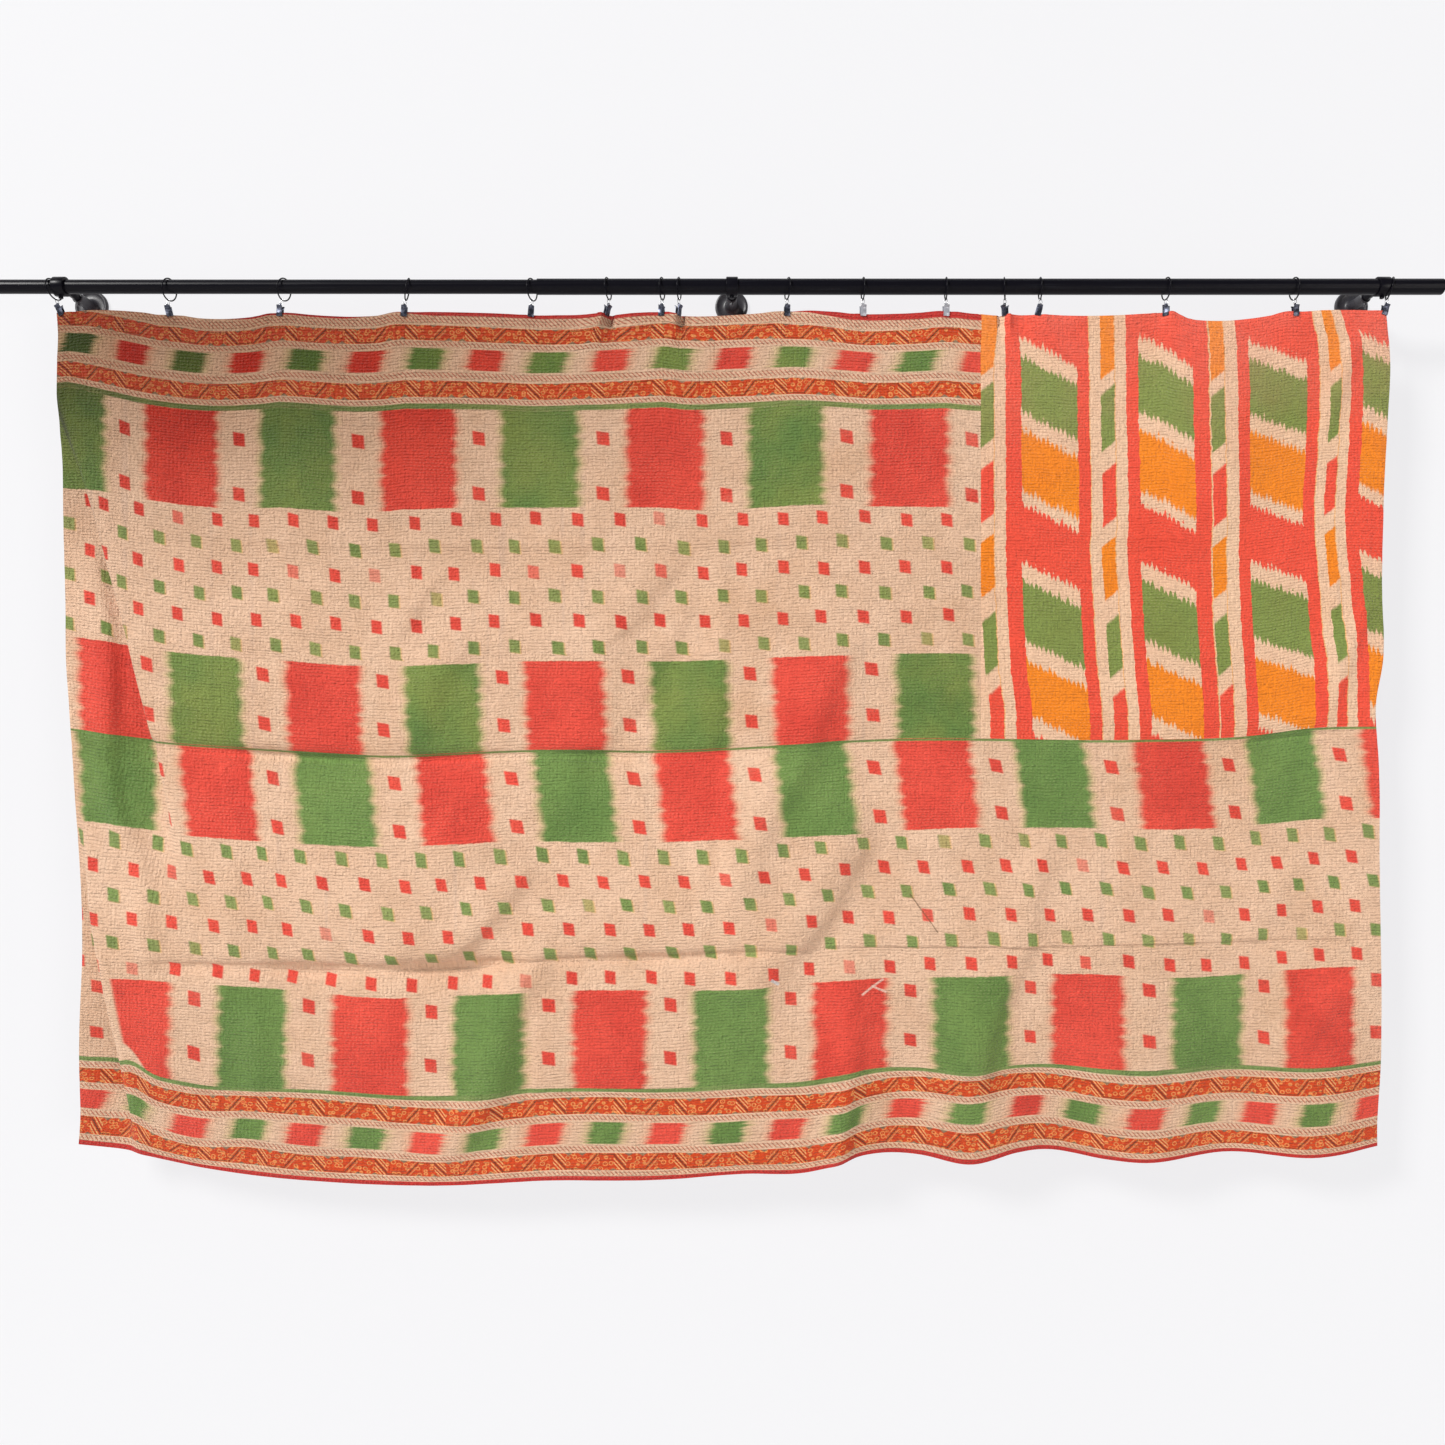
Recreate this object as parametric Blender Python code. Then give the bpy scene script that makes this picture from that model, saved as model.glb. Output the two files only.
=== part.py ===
"""A kantha quilt hung by sixteen clip rings from a telescopic rod on three wall brackets.

Metres, +Z up. The origin is the centre of the middle bracket's back face, which lies on the
wall, the plane Y = 0. The viewer stands on the -Y side and +X runs to the viewer's right.
Each sub-part is one named object, so each can be read, changed or left out by itself.
"""

import math
from collections import namedtuple

import bmesh
import bpy
import numpy as np
from mathutils import Matrix, Vector

# Clearance kept between pieces that bear on each other.
GAP = 0.0003

# The rod: a thin tube that slides in a thick one, both capped, lying along X.
ROD_OUT = 0.0953
THICK_RADIUS = 0.0127
THICK_WALL = 0.0012
THIN_RADIUS = THICK_RADIUS - THICK_WALL - GAP
THIN_WALL = 0.0010
ROD_LEFT = -1.2110
ROD_JOIN = -0.3178
ROD_RIGHT = 1.1575
TELESCOPE = 0.0800
CAP_RIM = 0.0025
CAP_SPIGOT = 0.0120
TUBE_SIDES = 24

# The wall brackets: a round flange with a hub, and an arm that ends in a collar.
BRACKETS = {"left": -1.0965, "centre": 0.0, "right": 1.0620}
FLANGE_RADIUS = 0.0280
FLANGE_THICK = 0.0055
FLANGE_ROUND = 0.0020
HUB_RADIUS = 0.0088
HUB_LENGTH = 0.0480
HUB_BORE_DEPTH = 0.0360
ARM_RADIUS = 0.0062
COLLAR_RADIUS = 0.0155
COLLAR_WIDTH = 0.0190
BOSS_RADIUS = 0.0036
BOSS_DROP = 0.0195
SCREW_RADIUS = 0.0034
SCREW_DROP = 0.0130
SCREW_FROM_WALL = 0.0440

# The rings, their wire links and the clips.
RING_RADIUS = 0.0174
RING_WIRE = 0.0011
RING_STEPS = 16
RING_SIDES = 5
LINK_WIRE = 0.00045
LINK_LENGTH = 0.0079
LINK_FOOT = 0.0025
LINK_ARC_STEPS = 5
CLIP_WIDTH = 0.0098
CLIP_LENGTH = 0.0196
CLIP_SLOT_DEPTH = 0.0105
CLIP_PLATE = 0.0011
CLIP_SPREAD = 0.0052
CLIP_HANDLE = 0.0178
TAB_WIDTH = 0.0015
TAB_RADIUS = 0.0022
EYE_RADIUS = 0.0013
EYE_SIDES = 8

# The quilt: one sheet of two sewn layers.
CLOTH = 0.0020
HEM = 1.4010
SEAM = 0.7030
CREASE = 1.0460
NIP_HALF = 0.0068
NIP_HEIGHT = 0.0112
NIP_BLEND = 0.0360
NIP_FADE = 0.0700
COLUMN_STEP = 0.0680
PLEAT_STEP = 0.0100
PLEAT_FROM = -1.0960
PLEAT_TO = -0.9050

# One row for each ring, left to right. Angles in degrees, the rest in metres.
#   ring_x        where the ring rests on the rod
#   ring_yaw      turn of the ring's plane about the vertical, 0 for square to the rod
#   ring_lean     swing of the ring's foot towards +X
#   eye_x         the clip's eye
#   yaw, lean     turn of the clip about the vertical, swing of its jaw towards +X
#   edge          height of the quilt's top edge in the clip
#   sag, skew     drop of the edge half way to the next clip; under 1 puts it nearer this clip
Hanger = namedtuple("Hanger", "ring_x ring_yaw ring_lean eye_x yaw lean edge sag skew")
HANGERS = [
    Hanger(-1.1125, 10, 14, -1.1015, -14, 22, -0.0418, -0.0060, 0.75),
    Hanger(-0.9182, 13, -4, -0.9224, 9, 13, -0.0462, 0.0085, 1.00),
    Hanger(-0.7295, 16, -8, -0.7375, -8, -4, -0.0426, 0.0075, 1.35),
    Hanger(-0.5270, -8, -11, -0.5350, 5, -3, -0.0410, -0.0015, 1.00),
    Hanger(-0.3268, 19, 0, -0.3278, 12, -4, -0.0462, 0.0006, 1.00),
    Hanger(-0.2034, 12, 3, -0.2018, 58, -12, -0.0446, 0.0000, 1.00),
    Hanger(-0.1136, 12, -2, -0.1146, -10, -3, -0.0409, 0.0000, 1.00),
    Hanger(-0.0858, 9, -2, -0.0868, 62, -3, -0.0453, 0.0045, 0.60),
    Hanger(0.0915, -12, -2, 0.0903, 6, -2, -0.0402, -0.0024, 0.70),
    Hanger(0.2141, -3, 0, 0.2141, 13, 0, -0.0443, 0.0016, 0.65),
    Hanger(0.3497, 4, 0, 0.3497, 11, 0, -0.0400, 0.0016, 1.00),
    Hanger(0.4449, 13, 2, 0.4457, -60, 2, -0.0458, 0.0000, 1.00),
    Hanger(0.5033, 6, 1, 0.5044, -12, -16, -0.0454, 0.0036, 1.00),
    Hanger(0.7100, -3, -1, 0.7094, -38, -1, -0.0410, 0.0155, 0.72),
    Hanger(0.9183, -1, 3, 0.9203, 8, 2, -0.0400, -0.0020, 1.00),
    Hanger(1.0790, 14, -14, 1.0690, 6, -12, -0.0388, 0.0000, 1.00),
]

# Side edges of the quilt as it hangs: height, left edge, right edge.
Side = namedtuple("Side", "z left right")
SIDES = [
    Side(-0.040, -1.1050, 1.0690),
    Side(-0.110, -1.1030, 1.0760),
    Side(-0.220, -1.1040, 1.0740),
    Side(-0.330, -1.1035, 1.0690),
    Side(-0.520, -1.0990, 1.0645),
    Side(-0.640, -1.0970, 1.0660),
    Side(-0.700, -1.0930, 1.0560),
    Side(-0.810, -1.0850, 1.0595),
    Side(-0.920, -1.0790, 1.0605),
    Side(-1.080, -1.0735, 1.0625),
    Side(-1.220, -1.0760, 1.0645),
    Side(-1.290, -1.0760, 1.0655),
    Side(-1.400, -1.0700, 1.0600),
]

# Lines that run across the quilt, as they hang: place along X, height.
Across = namedtuple("Across", "x z")
SEAM_LINE = [
    Across(-1.110, -0.718),
    Across(-0.935, -0.743),
    Across(-0.796, -0.754),
    Across(-0.575, -0.766),
    Across(-0.328, -0.757),
    Across(-0.123, -0.758),
    Across(0.271, -0.738),
    Across(0.663, -0.740),
    Across(0.863, -0.733),
    Across(0.956, -0.721),
    Across(1.080, -0.718),
]
CREASE_LINE = [
    Across(-1.110, -1.098),
    Across(-1.028, -1.104),
    Across(-0.691, -1.116),
    Across(-0.559, -1.118),
    Across(-0.350, -1.105),
    Across(-0.088, -1.096),
    Across(0.093, -1.083),
    Across(0.569, -1.078),
    Across(1.080, -1.065),
]
HEM_LINE = [
    Across(-1.110, -1.398),
    Across(-0.992, -1.413),
    Across(-0.850, -1.443),
    Across(-0.691, -1.463),
    Across(-0.500, -1.471),
    Across(-0.283, -1.461),
    Across(-0.126, -1.459),
    Across(0.013, -1.448),
    Across(0.131, -1.443),
    Across(0.206, -1.419),
    Across(0.243, -1.415),
    Across(0.310, -1.417),
    Across(0.386, -1.430),
    Across(0.467, -1.415),
    Across(0.505, -1.412),
    Across(0.611, -1.426),
    Across(0.667, -1.430),
    Across(0.817, -1.418),
    Across(0.953, -1.423),
    Across(1.080, -1.404),
]

# Pleats near the left edge, where cloth is taken up and what lies left of it hangs further
# back. Path from (top_x, top_z) to (foot_x, foot_z) on the cloth laid flat.
Pleat = namedtuple("Pleat", "top_x top_z foot_x foot_z fade half take_up recess groove")
PLEATS = [
    Pleat(-1.1000, -0.230, -0.9200, -0.900, 0.300, 0.0190, 0.0255, 0.0200, 0.0060),
    Pleat(-1.0880, -0.900, -0.9860, -1.420, 0.260, 0.0212, 0.0290, 0.0210, 0.0050),
]
GROOVE_AT = 0.034
GROOVE_WIDTH = 0.026

# Soft folds: a rise (or, below 0, a dip) along a line, as wide on its left as on its right
# or not, dying away at both ends.
Fold = namedtuple("Fold", "x1 z1 x2 z2 left right rise fade")
FOLDS = [
    Fold(-0.060, -0.440, -0.170, -0.600, 0.030, 0.090, -0.0050, 0.050),
    Fold(-0.150, -0.600, -0.230, -0.930, 0.045, 0.120, -0.0065, 0.120),
    Fold(-0.420, -0.880, -0.570, -1.100, 0.150, 0.045, 0.0100, 0.070),
    Fold(-0.310, -0.900, -0.440, -1.110, 0.040, 0.090, -0.0050, 0.090),
    Fold(0.200, -0.860, 0.010, -1.160, 0.140, 0.030, 0.0120, 0.070),
    Fold(0.250, -0.930, 0.080, -1.200, 0.028, 0.110, -0.0045, 0.080),
    Fold(0.485, -0.850, 0.440, -1.330, 0.045, 0.060, -0.0060, 0.100),
    Fold(-0.700, -0.150, -0.640, -0.520, 0.110, 0.110, 0.0060, 0.120),
    Fold(-0.330, -0.090, -0.360, -0.480, 0.100, 0.080, -0.0050, 0.120),
    Fold(0.150, -0.070, 0.190, -0.560, 0.110, 0.110, 0.0050, 0.150),
    Fold(0.780, -0.060, 0.760, -0.400, 0.060, 0.080, 0.0060, 0.080),
    Fold(0.640, -0.080, 0.600, -0.520, 0.070, 0.090, -0.0050, 0.120),
    Fold(0.960, -0.080, 0.930, -0.600, 0.070, 0.070, -0.0050, 0.120),
]

# Pressed creases that follow a line across the quilt.
Pressed = namedtuple("Pressed", "line from_x to_x drop dip above below")
PRESSED = [
    Pressed(SEAM_LINE, -1.05, 1.05, 0.014, 0.0030, 0.014, 0.026),
    Pressed(CREASE_LINE, -1.02, 1.06, 0.000, 0.0048, 0.022, 0.030),
]

# Ripples that grow towards the hem at the right.
RIPPLE_FROM_X = 0.16
RIPPLE_LENGTH = 0.284
RIPPLE_CREST_X = 0.388
RIPPLE_DEPTH = 0.0085
RIPPLE_TOP = -1.080

# The sheet's slow forward and backward swell from one side to the other.
SWELL = 0.0060
SWELL_LENGTH = 1.450
SWELL_PHASE = 0.9


def clear_scene():
    for obj in list(bpy.data.objects):
        bpy.data.objects.remove(obj, do_unlink=True)


def finish_material(name, colour, roughness, metallic):
    """A Principled material of one colour."""
    material = bpy.data.materials.new(name)
    material.use_nodes = True
    shader = material.node_tree.nodes["Principled BSDF"]
    shader.inputs["Base Color"].default_value = (*colour, 1.0)
    shader.inputs["Roughness"].default_value = roughness
    shader.inputs["Metallic"].default_value = metallic
    material.diffuse_color = (*colour, 1.0)
    return material


def add_object(name, mesh, material, smooth_below=0.0):
    """Links a mesh to the scene as a named object, shaded smooth where its edges are soft."""
    obj = bpy.data.objects.new(name, mesh)
    bpy.context.scene.collection.objects.link(obj)
    if not mesh.materials:
        mesh.materials.append(material)
    if smooth_below:
        mesh.shade_smooth()
        mesh.set_sharp_from_angle(angle=math.radians(smooth_below))
    return obj


def mesh_of(name, points, faces):
    mesh = bpy.data.meshes.new(name)
    mesh.from_pydata([tuple(p) for p in points], [], [tuple(f) for f in faces])
    mesh.update()
    return mesh


def turned(name, outline, sides):
    """A closed outline of (radius, height) points, turned about local Z.

    The outline runs up its outer side. A point on the axis becomes one vertex.
    """
    bm = bmesh.new()
    rings = []
    for radius, height in outline:
        if radius == 0.0:
            rings.append([bm.verts.new((0.0, 0.0, height))] * sides)
            continue
        angles = [2.0 * math.pi * i / sides for i in range(sides)]
        rings.append([bm.verts.new((radius * math.cos(a), radius * math.sin(a), height)) for a in angles])
    for lower, upper in zip(rings, rings[1:] + rings[:1]):
        for i in range(sides):
            j = (i + 1) % sides
            corners = list(dict.fromkeys((lower[i], lower[j], upper[j], upper[i])))
            if len(corners) > 2:
                bm.faces.new(corners)
    mesh = bpy.data.meshes.new(name)
    bm.to_mesh(mesh)
    bm.free()
    return mesh


def extruded(name, outline, width):
    """A closed outline of (y, z) points, extruded to either side of the local YZ plane."""
    count = len(outline)
    points = [(x, y, z) for x in (-width / 2.0, width / 2.0) for y, z in outline]
    faces = [list(range(count))[::-1], list(range(count, 2 * count))]
    faces += [(i, (i + 1) % count, (i + 1) % count + count, i + count) for i in range(count)]
    mesh = mesh_of(name, points, faces)
    bm = bmesh.new()
    bm.from_mesh(mesh)
    bmesh.ops.recalc_face_normals(bm, faces=bm.faces)
    bm.to_mesh(mesh)
    bm.free()
    return mesh


def cutter(name, mesh, matrix):
    """A helper for a Boolean, kept out of the model."""
    obj = bpy.data.objects.new(name, mesh)
    bpy.context.scene.collection.objects.link(obj)
    obj.matrix_world = matrix
    obj.hide_render = True
    obj.display_type = "WIRE"
    return obj


def combine(obj, other, operation):
    modifier = obj.modifiers.new(f"{operation.lower()}_{other.name}", "BOOLEAN")
    modifier.operation = operation
    modifier.object = other


def along_x(x):
    """Turns local Z to +X and moves to x on the rod's axis."""
    return Matrix.Translation((x, -ROD_OUT, 0.0)) @ Matrix.Rotation(math.pi / 2.0, 4, "Y")


def from_wall(x, start=0.0):
    """Turns local Z to -Y, out of the wall, and moves to x."""
    return Matrix.Translation((x, -start, 0.0)) @ Matrix.Rotation(math.pi / 2.0, 4, "X")


def make_rod(black):
    """Two tubes, the thin one reaching into the thick one, and a plug in each outer end."""
    def tube(name, radius, wall, start, end):
        inner = radius - wall
        outline = [(radius, 0.0), (radius, end - start), (inner, end - start), (inner, 0.0)]
        obj = add_object(name, turned(name, outline, TUBE_SIDES), black, 40)
        obj.matrix_world = along_x(start)

    def plug(name, radius, wall, x, turn):
        bore = radius - wall - GAP
        edge = 0.0006
        outline = [
            (0.0, -CAP_SPIGOT),
            (bore, -CAP_SPIGOT),
            (bore, GAP),
            (radius, GAP),
            (radius, CAP_RIM - edge),
            (radius - edge, CAP_RIM),
            (0.0, CAP_RIM),
        ]
        obj = add_object(name, turned(name, outline, TUBE_SIDES), black, 40)
        obj.matrix_world = along_x(x) @ Matrix.Rotation(turn, 4, "Y")

    tube("rod_thin", THIN_RADIUS, THIN_WALL, ROD_LEFT, ROD_JOIN + TELESCOPE)
    tube("rod_thick", THICK_RADIUS, THICK_WALL, ROD_JOIN, ROD_RIGHT)
    plug("rod_cap_left", THIN_RADIUS, THIN_WALL, ROD_LEFT, math.pi)
    plug("rod_cap_right", THICK_RADIUS, THICK_WALL, ROD_RIGHT, 0.0)


def make_bracket(side, x, black):
    """A flange whose hub is bored for the arm, and the arm with its collar and set screws."""
    bore = ARM_RADIUS + GAP
    flange_outline = [
        (0.0, 0.0),
        (FLANGE_RADIUS, 0.0),
        (FLANGE_RADIUS, FLANGE_THICK - FLANGE_ROUND),
        (FLANGE_RADIUS - 0.4 * FLANGE_ROUND, FLANGE_THICK - 0.4 * FLANGE_ROUND),
        (FLANGE_RADIUS - 1.6 * FLANGE_ROUND, FLANGE_THICK),
        (HUB_RADIUS + 1.5 * FLANGE_ROUND, FLANGE_THICK + 0.5 * FLANGE_ROUND),
        (HUB_RADIUS, FLANGE_THICK + 2.0 * FLANGE_ROUND),
        (HUB_RADIUS, HUB_LENGTH),
        (bore, HUB_LENGTH),
        (bore, HUB_LENGTH - HUB_BORE_DEPTH),
        (0.0, HUB_LENGTH - HUB_BORE_DEPTH),
    ]
    flange = add_object(f"flange_{side}", turned(f"flange_{side}", flange_outline, TUBE_SIDES), black, 40)
    flange.matrix_world = from_wall(x)

    # The rod lies in the collar's bore: thick at the centre and right, thin at the left.
    tube_radius = THIN_RADIUS if side == "left" else THICK_RADIUS
    half = COLLAR_WIDTH / 2.0
    bevel = 0.0008
    collar_outline = [
        (0.0, -half),
        (COLLAR_RADIUS - bevel, -half),
        (COLLAR_RADIUS, -half + bevel),
        (COLLAR_RADIUS, half - bevel),
        (COLLAR_RADIUS - bevel, half),
        (0.0, half),
    ]
    arm = add_object(f"arm_{side}", turned(f"arm_{side}", collar_outline, TUBE_SIDES), black, 40)
    arm.matrix_world = along_x(x)

    def solid_rod(name, radius, length, sides=16):
        return turned(name, [(0.0, 0.0), (radius, 0.0), (radius, length), (0.0, length)], sides)

    foot = HUB_LENGTH - HUB_BORE_DEPTH + GAP
    stem = cutter(
        f"stem_{side}",
        solid_rod(f"stem_{side}", ARM_RADIUS, ROD_OUT - foot),
        from_wall(x, foot),
    )
    down = Matrix.Rotation(math.pi, 4, "X")
    boss = cutter(
        f"boss_{side}",
        solid_rod(f"boss_{side}", BOSS_RADIUS, BOSS_DROP, 12),
        Matrix.Translation((x, -ROD_OUT, 0.0)) @ down,
    )
    bore_cut = cutter(
        f"rod_bore_{side}",
        solid_rod(f"rod_bore_{side}", tube_radius + GAP, 4.0 * COLLAR_WIDTH, TUBE_SIDES),
        along_x(x - 2.0 * COLLAR_WIDTH),
    )
    combine(arm, stem, "UNION")
    combine(arm, boss, "UNION")
    combine(arm, bore_cut, "DIFFERENCE")

    screw = cutter(
        f"hub_screw_{side}",
        solid_rod(f"hub_screw_{side}", SCREW_RADIUS, SCREW_DROP - bore - GAP, 12),
        Matrix.Translation((x, -SCREW_FROM_WALL, -bore - GAP)) @ down,
    )
    combine(flange, screw, "UNION")


def ring_top(hanger):
    """The middle of the ring's wire where it rides on the rod."""
    tube = THIN_RADIUS if hanger.ring_x < ROD_JOIN else THICK_RADIUS
    return Vector((hanger.ring_x, -ROD_OUT, tube + GAP + RING_WIRE))


def ring_foot(hanger):
    """The middle of the ring's wire at its lowest point."""
    lean = math.radians(hanger.ring_lean)
    return ring_top(hanger) + 2.0 * RING_RADIUS * Vector((math.sin(lean), 0.0, -math.cos(lean)))


def clip_eye(hanger):
    """The middle of the clip's eye, a link's length below the ring."""
    foot = ring_foot(hanger)
    aside = hanger.eye_x - foot.x
    drop = math.sqrt(LINK_LENGTH**2 - aside**2)
    return Vector((hanger.eye_x, foot.y, foot.z - drop))


def clip_frame(hanger):
    """The clip's place and turn: its eye is its origin, its jaw points down local Z."""
    lean = Matrix.Rotation(math.radians(-hanger.lean), 4, "Y")
    yaw = Matrix.Rotation(math.radians(hanger.yaw), 4, "Z")
    return Matrix.Translation(clip_eye(hanger)) @ lean @ yaw


def jaw_tip(hanger):
    return clip_frame(hanger) @ Vector((0.0, 0.0, -CLIP_LENGTH))


def make_rings(black):
    for number, hanger in enumerate(HANGERS, 1):
        name = f"ring_{number:02d}"
        bpy.ops.mesh.primitive_torus_add(
            major_segments=RING_STEPS,
            minor_segments=RING_SIDES,
            major_radius=RING_RADIUS,
            minor_radius=RING_WIRE,
        )
        obj = bpy.context.object
        obj.name = name
        obj.data.name = name
        obj.data.materials.append(black)
        obj.data.shade_smooth()
        # The torus lies in local XY. Its own X becomes the way up, so that a joint between two
        # of its steps stands at the top, where the ring bears on the rod.
        upright = Matrix(((0.0, 0.0, 1.0), (0.0, 1.0, 0.0), (-1.0, 0.0, 0.0))).to_4x4()
        lean = Matrix.Rotation(math.radians(-hanger.ring_lean), 4, "Y")
        yaw = Matrix.Rotation(math.radians(-hanger.ring_yaw), 4, "Z")
        middle = (ring_top(hanger) + ring_foot(hanger)) / 2.0
        obj.matrix_world = Matrix.Translation(middle) @ lean @ yaw @ upright


def link_route(hanger):
    """A closed teardrop: round the ring's wire at its head, through the clip's eye at its foot.

    It turns from square to the ring at the head to the clip's own width at the foot.
    """
    head = ring_foot(hanger)
    foot = clip_eye(hanger) + Vector((0.0, 0.0, EYE_RADIUS - LINK_WIRE - GAP))
    bend = RING_WIRE + GAP + LINK_WIRE
    arc = [math.pi * i / (LINK_ARC_STEPS - 1) for i in range(LINK_ARC_STEPS)]
    shape = [(bend * math.cos(a), 0.0, bend * math.sin(a)) for a in arc]
    shape += [(-LINK_FOOT, 0.82, 0.0), (-0.6 * LINK_FOOT, 1.0, 0.0), (0.6 * LINK_FOOT, 1.0, 0.0)]
    shape += [(LINK_FOOT, 0.82, 0.0)]
    route = []
    for across, down, up in shape:
        turn = math.radians(down * hanger.yaw - (1.0 - down) * hanger.ring_yaw)
        middle = head.lerp(foot, down)
        route.append(middle + Vector((across * math.cos(turn), across * math.sin(turn), up)))
    return route


def make_links(silver):
    for number, hanger in enumerate(HANGERS, 1):
        name = f"link_{number:02d}"
        curve = bpy.data.curves.new(name, "CURVE")
        curve.dimensions = "3D"
        curve.bevel_depth = LINK_WIRE
        curve.bevel_resolution = 1
        route = link_route(hanger)
        spline = curve.splines.new("POLY")
        spline.points.add(len(route) - 1)
        for point, place in zip(spline.points, route):
            point.co = (*place, 1.0)
        spline.use_cyclic_u = True
        curve.materials.append(silver)
        obj = bpy.data.objects.new(name, curve)
        bpy.context.scene.collection.objects.link(obj)


def clip_mesh(name, metal):
    """Two sprung plates seen from the side, joined at the hinge, with a tab that holds the eye.

    Local Z runs up from the jaw's tip at -CLIP_LENGTH to the eye at 0; the cloth lies in the
    slot, on the plane Y = 0.
    """
    tip = -CLIP_LENGTH
    slot = CLOTH / 2.0 + GAP
    hinge = tip + CLIP_SLOT_DEPTH
    handle = tip + CLIP_HANDLE
    plate = CLIP_PLATE
    one_side = [
        (slot, hinge),
        (slot, tip),
        (slot + plate, tip),
        (slot + 1.5 * plate, tip + 0.6 * CLIP_SLOT_DEPTH),
        (slot + 1.6 * plate, hinge),
        (CLIP_SPREAD + 0.3 * plate, handle - 0.4 * plate),
        (CLIP_SPREAD - 0.7 * plate, handle),
        (slot + 0.5 * plate, hinge + 2.0 * plate),
    ]
    other_side = [(-y, z) for y, z in reversed(one_side)]
    body = add_object(name, extruded(name, one_side + other_side, CLIP_WIDTH), metal)
    shank = 0.7 * TAB_RADIUS
    round_top = [math.radians(a) for a in (-35, 10, 55, 90, 125, 170, 215)]
    tab_outline = [(shank, hinge + plate)]
    tab_outline += [(TAB_RADIUS * math.cos(a), TAB_RADIUS * math.sin(a)) for a in round_top]
    tab_outline += [(-shank, hinge + plate)]
    tab = cutter(f"{name}_tab", extruded(f"{name}_tab", tab_outline, TAB_WIDTH), Matrix())
    angles = [2.0 * math.pi * (i + 0.5) / EYE_SIDES for i in range(EYE_SIDES)]
    eye_outline = [(EYE_RADIUS * math.cos(a), EYE_RADIUS * math.sin(a)) for a in angles]
    eye = cutter(f"{name}_eye", extruded(f"{name}_eye", eye_outline, 3.0 * TAB_WIDTH), Matrix())
    combine(body, tab, "UNION")
    combine(body, eye, "DIFFERENCE")
    bpy.context.view_layer.update()
    finished = bpy.data.meshes.new_from_object(body.evaluated_get(bpy.context.evaluated_depsgraph_get()))
    for helper in (body, tab, eye):
        bpy.data.objects.remove(helper, do_unlink=True)
    finished.name = name
    return finished


def make_clips(metal):
    mesh = clip_mesh("clip", metal)
    for number, hanger in enumerate(HANGERS, 1):
        obj = add_object(f"clip_{number:02d}", mesh, metal)
        obj.matrix_world = clip_frame(hanger)


def eased(t):
    """Rises from 0 to 1 as t does, level at both ends."""
    t = np.clip(t, 0.0, 1.0)
    return t * t * (3.0 - 2.0 * t)


def through(known, values, at):
    """A smooth curve through the values at the known places, read at other places.

    Each piece is the cubic whose slopes at its ends are those of the neighbouring points.
    Beyond the ends it stays level. The values may be rows of numbers, one row for each place.
    """
    known = np.asarray(known, float)
    values = np.asarray(values, float)
    at = np.clip(np.asarray(at, float), known[0], known[-1])
    slopes = np.gradient(values, known, axis=0)
    left = np.clip(np.searchsorted(known, at, side="right") - 1, 0, len(known) - 2)
    step = known[left + 1] - known[left]
    t = (at - known[left]) / step
    if values.ndim > 1:
        columns = np.arange(values.shape[1])
        begin, finish = values[left, columns], values[left + 1, columns]
        rate_in, rate_out = slopes[left, columns], slopes[left + 1, columns]
    else:
        begin, finish = values[left], values[left + 1]
        rate_in, rate_out = slopes[left], slopes[left + 1]
    return (
        (1.0 + 2.0 * t) * (1.0 - t) ** 2 * begin
        + t * (1.0 - t) ** 2 * step * rate_in
        + t**2 * (3.0 - 2.0 * t) * finish
        + t**2 * (t - 1.0) * step * rate_out
    )


def line_height(line, x):
    return through([point.x for point in line], [point.z for point in line], x)


def top_edge(x):
    """Height of the top edge: straight from clip to clip, plus each stretch's own sag."""
    tips = np.array([jaw_tip(hanger).x for hanger in HANGERS])
    height = np.interp(x, tips, [hanger.edge for hanger in HANGERS])
    for hanger, start, end in zip(HANGERS, tips, tips[1:]):
        share = np.clip((x - start) / (end - start), 0.0, 1.0)
        height = height - hanger.sag * np.sin(math.pi * share**hanger.skew)
    return height


def pleat_share(pleat, flat_x, z):
    """1 well left of a pleat, 0 well right of it, times how fully it is formed at that height."""
    formed = eased((pleat.top_z - z) / pleat.fade + 0.5) * eased((z - pleat.foot_z) / pleat.fade + 0.5)
    down = (z - pleat.top_z) / (pleat.foot_z - pleat.top_z)
    path = pleat.top_x + (pleat.foot_x - pleat.top_x) * down
    return formed * (1.0 - eased((flat_x - path) / (2.0 * pleat.half) + 0.5)), formed, flat_x - path


def fold_rise(fold, x, z):
    """Rise of a soft fold: a bell across its line, dying away towards the line's ends."""
    run = math.hypot(fold.x2 - fold.x1, fold.z2 - fold.z1)
    along_x_share, along_z_share = (fold.x2 - fold.x1) / run, (fold.z2 - fold.z1) / run
    along = (x - fold.x1) * along_x_share + (z - fold.z1) * along_z_share
    # Positive to the right of the line for a line that runs down.
    aside = (z - fold.z1) * along_x_share - (x - fold.x1) * along_z_share
    width = np.where(aside < 0.0, fold.left, fold.right)
    ends = eased(along / fold.fade + 0.5) * eased((run - along) / fold.fade + 0.5)
    return fold.rise * ends * np.exp(-((aside / width) ** 2))


def pressed_dip(pressed, x, z):
    """A pressed crease: a sharp trough that follows its line."""
    away = z - (line_height(pressed.line, x) - pressed.drop)
    width = np.where(away > 0.0, pressed.above, pressed.below)
    ends = eased((x - pressed.from_x) / 0.12) * eased((pressed.to_x - x) / 0.12)
    return pressed.dip * ends * np.exp(-np.abs(away) / width)


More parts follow.
